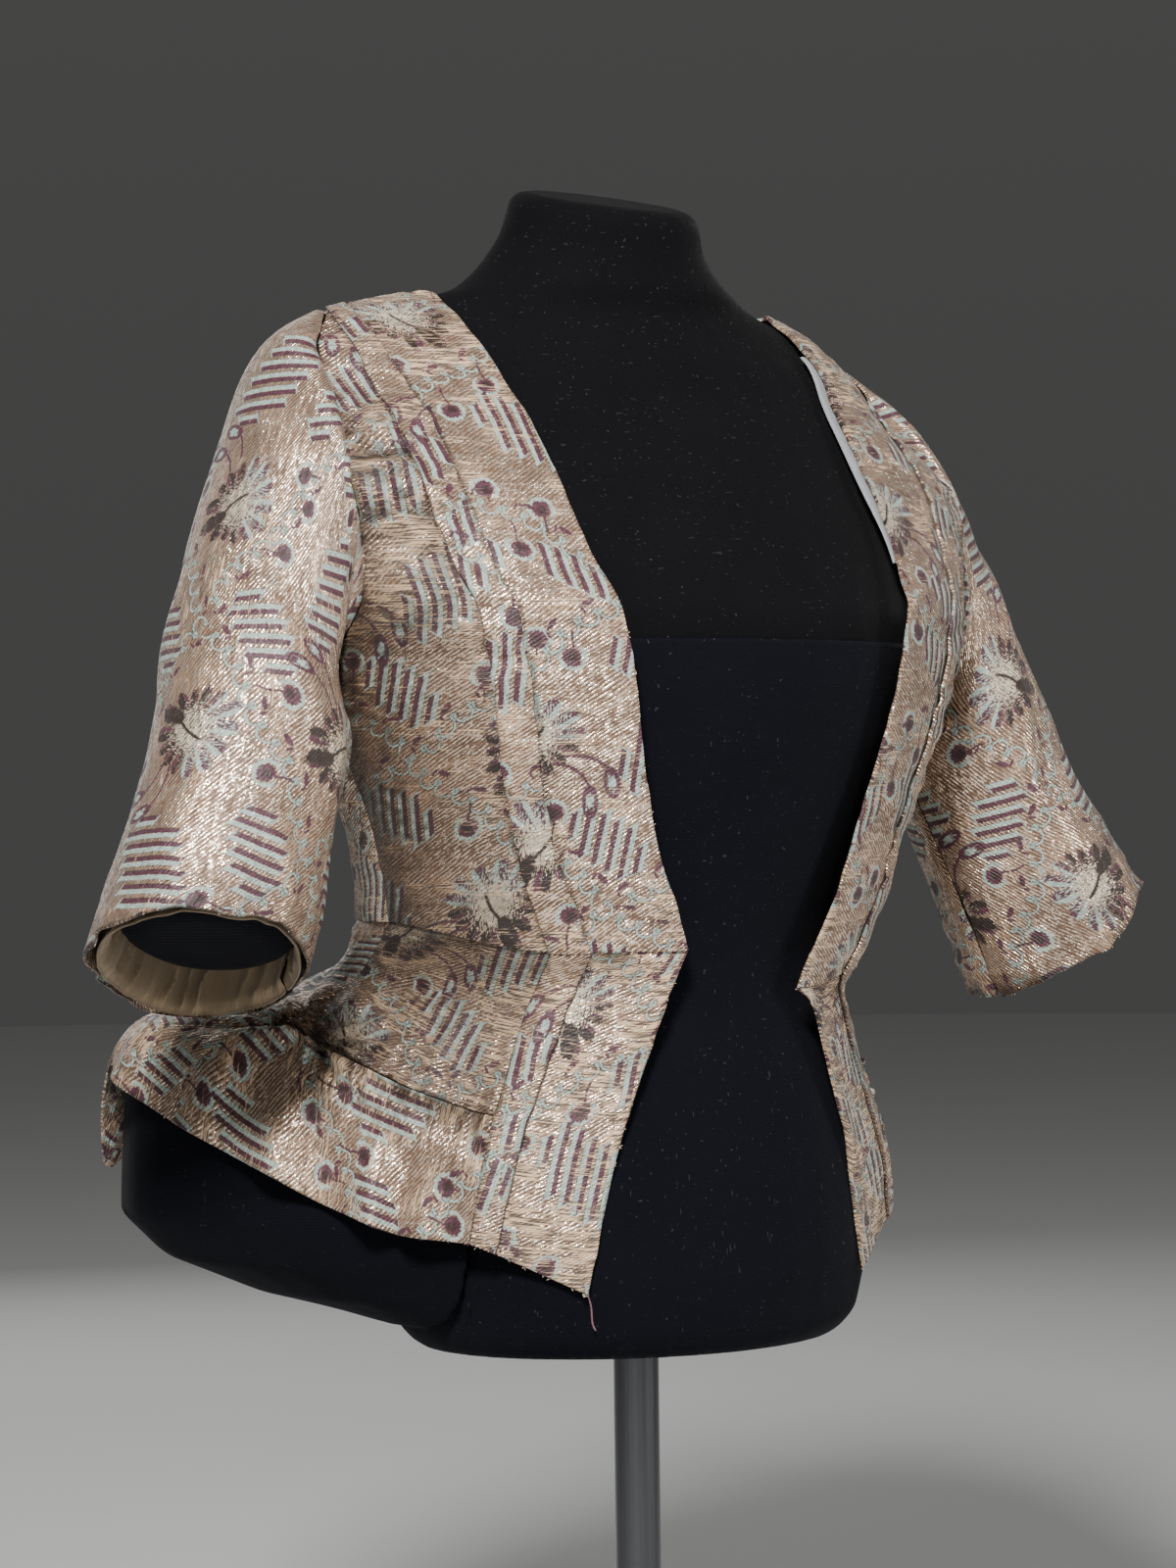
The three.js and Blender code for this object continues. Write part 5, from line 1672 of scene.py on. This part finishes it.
class BODICE_OT_skirt_back(bpy.types.Operator):
    """Back of the skirt, spread over the rump pad"""

    bl_idname = "bodice.skirt_back"
    bl_label = "Skirt backs"

    def execute(self, context):
        skirt_panels(context, "skirt_back", (QUARTER, math.pi), (0, HEM), (75, 20), "draped",
                     dress_skirt_back, turned=True)
        return {"FINISHED"}


class BODICE_OT_threads(bpy.types.Operator):
    """Short frayed threads along worn edges, and a longer one at the right skirt corner"""

    bl_idname = "bodice.threads"
    bl_label = "Loose threads"

    def execute(self, context):
        radius = context.scene.bodice_sizes.thread * 1000
        pale = thread_finish("pale_thread", (0.45, 0.34, 0.22), (0.62, 0.5, 0.36))
        dark = thread_finish("plum_thread", (0.1, 0.035, 0.05), (0.2, 0.08, 0.1))
        for side, word in SIDES:
            for tone, material, seed in (("pale", pale, 100), ("dark", dark, 200)):
                paths = []
                for row in FRAYS:
                    if row[0] == tone:
                        paths += frayed(row[1] + "_cloth_" + word, *row[2:], seed + side + len(paths))
                name = "frayed_" + tone + "_threads_" + word
                placed_threads(name, paths, radius * 0.6, material)
        corner, _, face = (grid[-1] for grid in edge_of("skirt_front_cloth_right", "left"))
        t = np.linspace(0, 1, 14)[:, None]
        sway = np.array([1, 0.3, 0]) * (7 * t * t + 1.5 * np.sin(5 * t))
        path = corner + np.array([0, 0, -THREAD_HANGS]) * t + sway + face * 1.5 * t
        strands = [path, path + face * 0.5 + sway * 0.12]
        placed_threads("loose_thread", strands, radius * 1.2, dark)
        return {"FINISHED"}


def placed_threads(name, paths, radius, material):
    """Makes threads that no solid stands for."""
    piece = threads_object(name, paths, radius)
    coat(piece, material)
    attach(piece, "root")


# tone, part, edge, where along it the threads start and end, how many, longest in millimetres
FRAYS = (
    ("pale", "skirt_front", "left", (0.0, 1.0), 14, 2.2),
    ("pale", "skirt_front", "foot", (0.0, 1.0), 16, 2.5),
    ("pale", "front", "left", (0.0, 0.5), 8, 1.6),
    ("pale", "robing", "left", (0.0, 1.0), 26, 1.6),
    ("pale", "robing", "right", (0.0, 1.0), 26, 1.6),
    ("dark", "robing", "left", (0.0, 1.0), 40, 1.2),
    ("dark", "robing", "right", (0.0, 1.0), 40, 1.2),
    ("pale", "sleeve", "foot", (0.0, 1.0), 24, 1.8),
    ("dark", "sleeve", "foot", (0.0, 1.0), 18, 1.8),
    ("dark", "flounce", "foot", (0.0, 1.0), 14, 1.5),
    ("pale", "skirt_back", "foot", (0.0, 1.0), 18, 1.8),
)
THREAD_HANGS = 19       # how far the loose thread hangs below the skirt's corner


def edge_of(name, edge):
    """Points along one edge of a made sheet, directions out of the cloth, and its normals."""
    points, normals = GRIDS[name]
    every = slice(None)
    at, inside = {
        "left": ((every, 0), (every, 3)), "right": ((every, -1), (every, -4)),
        "top": ((0, every), (3, every)), "foot": ((-1, every), (-4, every)),
    }[edge]
    return points[at], unit(points[at] - points[inside]), normals[at]


def frayed(name, edge, span, count, reach, seed):
    """Paths of short curled threads that stick out of an edge."""
    rng = np.random.default_rng(seed)
    points, out, face = edge_of(name, edge)
    t = np.linspace(0, 1, 6)[:, None]
    paths = []
    for share in rng.uniform(*span, count):
        i = int(share * (len(points) - 2))
        along_edge = points[i + 1] - points[i]
        along_edge /= max(np.linalg.norm(along_edge), TINY)
        length = reach * rng.uniform(0.4, 1)
        lean, rise, curl = rng.uniform(-1, 1), rng.uniform(0.1, 0.6), rng.uniform(-0.5, 0.5)
        heading = out[i] + along_edge * lean + face[i] * rise
        path = points[i] - out[i] * 0.4 + heading * length * t
        paths.append(path + (along_edge * curl + face[i] * 0.2) * length * t * t)
    return paths


class BODICE_OT_torso(bpy.types.Operator):
    """Torso of the form with its felt cover"""

    bl_idname = "bodice.torso"
    bl_label = "Torso"

    def execute(self, context):
        colours = context.scene.form_colours
        piece = softened(context, "form_torso", "torso_felt", FORM_VOXEL, 5)
        felt = tuple(colours.felt)
        material = felt_finish(felt, scaled(felt, 1.9), tuple(colours.lint))
        placed(piece, "form_torso", material)
        return {"FINISHED"}


class BODICE_OT_jersey(bpy.types.Operator):
    """Jersey band stretched round the form"""

    bl_idname = "bodice.jersey"
    bl_label = "Jersey band"

    def execute(self, context):
        colours = context.scene.form_colours
        low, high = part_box("form_jersey")
        inside = 0.0006         # the band's edges stay this far inside its solid's
        piece = softened(context, "form_torso", "jersey_band", FORM_VOXEL, 5)
        shape = bmesh.new()
        shape.from_mesh(piece.data)
        for level, way in ((low.z + inside, -1), (high.z - inside, 1)):
            everything = shape.verts[:] + shape.edges[:] + shape.faces[:]
            bmesh.ops.bisect_plane(shape, geom=everything, plane_co=(0, 0, level), plane_no=(0, 0, way),
                                   clear_outer=True)
        shape.to_mesh(piece.data)
        shape.free()
        hem = high.z * 1000 - 13

        def stand_off(points):
            return 0.45 + 0.12 * (1 + lumps(points, 34, 5)) + 0.5 * ease((points[:, 2] - hem) / 2)

        moved_out(piece, stand_off)
        wall = piece.modifiers.new("wall", "SOLIDIFY")
        wall.thickness, wall.offset = 0.0011, 1
        settled(context, piece)
        jersey = tuple(colours.jersey)
        material = knit_finish("form_jersey_knit", jersey, scaled(jersey, 2), tuple(colours.lint))
        placed(piece, "form_jersey", material)
        return {"FINISHED"}


class BODICE_OT_pads(bpy.types.Operator):
    """Rump pad and arm pads in their stretch covers"""

    bl_idname = "bodice.pads"
    bl_label = "Pads"

    def execute(self, context):
        colours = context.scene.form_colours
        cover = tuple(colours.cover)
        material = knit_finish("pad_cover_knit", cover, scaled(cover, 2.2), tuple(colours.lint), 1.6, 0.5)
        for node, name, size in (
            ("rump_pad", "rump_pad_cover", 48),
            ("arm_pad_right", "arm_pad_cover_right", 30),
            ("arm_pad_left", "arm_pad_cover_left", 30),
        ):
            piece = softened(context, node, name, PAD_VOXEL, 8)
            moved_out(piece, lambda points: 0.5 * lumps(points, size, 8))
            placed(piece, node, material)
        return {"FINISHED"}


class BODICE_OT_stand(bpy.types.Operator):
    """Finishes of the pole and the base plate, whose shapes are already right"""

    bl_idname = "bodice.stand"
    bl_label = "Stand"

    def execute(self, context):
        colours = context.scene.form_colours
        for node, name, colour, roughness, streak in (
            # the pole's dark colour is a painted reflection of dark surroundings
            ("pole", "brushed_pole", tuple(colours.steel), 0.2, (0.7, 0.7, 60)),
            ("base_plate", "satin_plate", tuple(colours.plate), 0.38, (3, 3, 3)),
        ):
            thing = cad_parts[node]
            coat(thing, steel_finish(name, colour, roughness, streak))
            thing.data.shade_smooth()
            thing.data.set_sharp_from_angle(angle=math.radians(35))
        return {"FINISHED"}


class BODICE_OT_stage(bpy.types.Operator):
    """Plain pale floor, soft studio lights and the camera"""

    bl_idname = "bodice.stage"
    bl_label = "Stage"

    def execute(self, context):
        studio = context.scene.bodice_studio
        floor_object(studio)
        # name, place, the point it shines on, width of the disk, power
        for name, place, target, size, power in (
            ("key_light", (-1.45, -1.5, 2.15), (0, 0, 0.64), 0.5, studio.key),
            ("fill_light", (1.5, -2.1, 0.8), (0, 0, 0.6), 0.9, studio.fill * 4),
            ("back_light", (0.9, 2.4, 1.6), (0, 0, 0.6), 2.2, studio.fill * 2),
        ):
            light = bpy.data.lights.new(name, "AREA")
            light.shape, light.size, light.energy = "DISK", size, power
            lamp = bpy.data.objects.new(name, light)
            context.scene.collection.objects.link(lamp)
            aimed(lamp, Vector(place), Vector(target))
        context.scene.world = surroundings(tuple(studio.floor))
        camera_object(context, studio)
        return {"FINISHED"}


def surroundings(floor_colour):
    """Dim even light from all round, a little darker at the horizon than above."""
    world = bpy.data.worlds.new("studio")
    world.use_nodes = True
    tree = world.node_tree
    background = tree.nodes["Background"]
    place = tree.nodes.new("ShaderNodeTexCoord")
    height = split(tree, place.outputs["Generated"])[2]
    colour = tinted(height.step(0, 0.5), scaled(floor_colour, 0.42), scaled(floor_colour, 0.55))
    tree.links.new(colour, background.inputs["Color"])
    background.inputs["Strength"].default_value = 0.2
    return world


def aimed(thing, place, target):
    """Stands a lamp or a camera at a place and turns it to a target."""
    thing.location = place
    thing.rotation_euler = (target - place).to_track_quat("-Z", "Y").to_euler()


def floor_object(studio):
    """A wide round floor just under the base plate."""
    shape = bmesh.new()
    bmesh.ops.create_circle(shape, cap_ends=True, segments=96, radius=9)
    mesh = bpy.data.meshes.new("floor")
    shape.to_mesh(mesh)
    shape.free()
    floor = bpy.data.objects.new("floor", mesh)
    bpy.context.scene.collection.objects.link(floor)
    mesh.materials.append(floor_finish(tuple(studio.floor)))


def camera_object(context, studio):
    """The camera stands at the azimuth and height given and looks level, a little left of the pole."""
    turn = studio.azimuth
    back = Vector((math.sin(turn), -math.cos(turn), 0))
    right = Vector((math.cos(turn), math.sin(turn), 0))
    data = bpy.data.cameras.new("camera")
    data.sensor_fit, data.sensor_width = "HORIZONTAL", SENSOR
    data.lens = SENSOR * studio.distance / studio.view_width
    camera = bpy.data.objects.new("camera", data)
    context.scene.collection.objects.link(camera)
    beside = -POLE_OFFSET * right
    place = studio.distance * back + beside + Vector((0, 0, studio.height))
    aimed(camera, place, beside + Vector((0, 0, studio.height + AIM_ABOVE)))
    camera.rotation_euler.rotate_axis("Z", -CAMERA_ROLL)
    context.scene.camera = camera


OPERATORS = (
    BODICE_OT_back, BODICE_OT_side_front, BODICE_OT_front, BODICE_OT_robing, BODICE_OT_neck_lining,
    BODICE_OT_sleeves, BODICE_OT_sleeve_linings, BODICE_OT_skirt_front, BODICE_OT_skirt_robing,
    BODICE_OT_hip_yoke, BODICE_OT_flounce, BODICE_OT_skirt_back, BODICE_OT_threads, BODICE_OT_torso,
    BODICE_OT_jersey, BODICE_OT_pads, BODICE_OT_stand, BODICE_OT_stage,
)
GROUPS = (
    ("bodice_sizes", BodiceSizes), ("bodice_colours", BodiceColours), ("form_colours", FormColours),
    ("bodice_studio", StudioSettings),
)


class BODICE_PT_panel(bpy.types.Panel):
    """Lists the steps that build the model and the settings that they read"""

    bl_idname = "BODICE_PT_panel"
    bl_label = "Bodice"
    bl_space_type = "VIEW_3D"
    bl_region_type = "UI"
    bl_category = "Bodice"

    def draw(self, context):
        for operator in OPERATORS:
            self.layout.operator(operator.bl_idname)
        for name, group in GROUPS:
            box = self.layout.box()
            for setting in group.__annotations__:
                box.prop(getattr(context.scene, name), setting)


def register():
    for cls in (*(group for _, group in GROUPS), *OPERATORS, BODICE_PT_panel):
        bpy.utils.register_class(cls)
    for name, group in GROUPS:
        setattr(bpy.types.Scene, name, PointerProperty(type=group))


def unregister():
    for name, _ in GROUPS:
        delattr(bpy.types.Scene, name)
    for cls in (BODICE_PT_panel, *OPERATORS, *(group for _, group in GROUPS)):
        bpy.utils.unregister_class(cls)


def main():
    register()
    for operator in OPERATORS:
        getattr(bpy.ops.bodice, operator.bl_idname.split(".")[1])()
    bpy.context.view_layer.update()


if __name__ == "__main__":
    main()
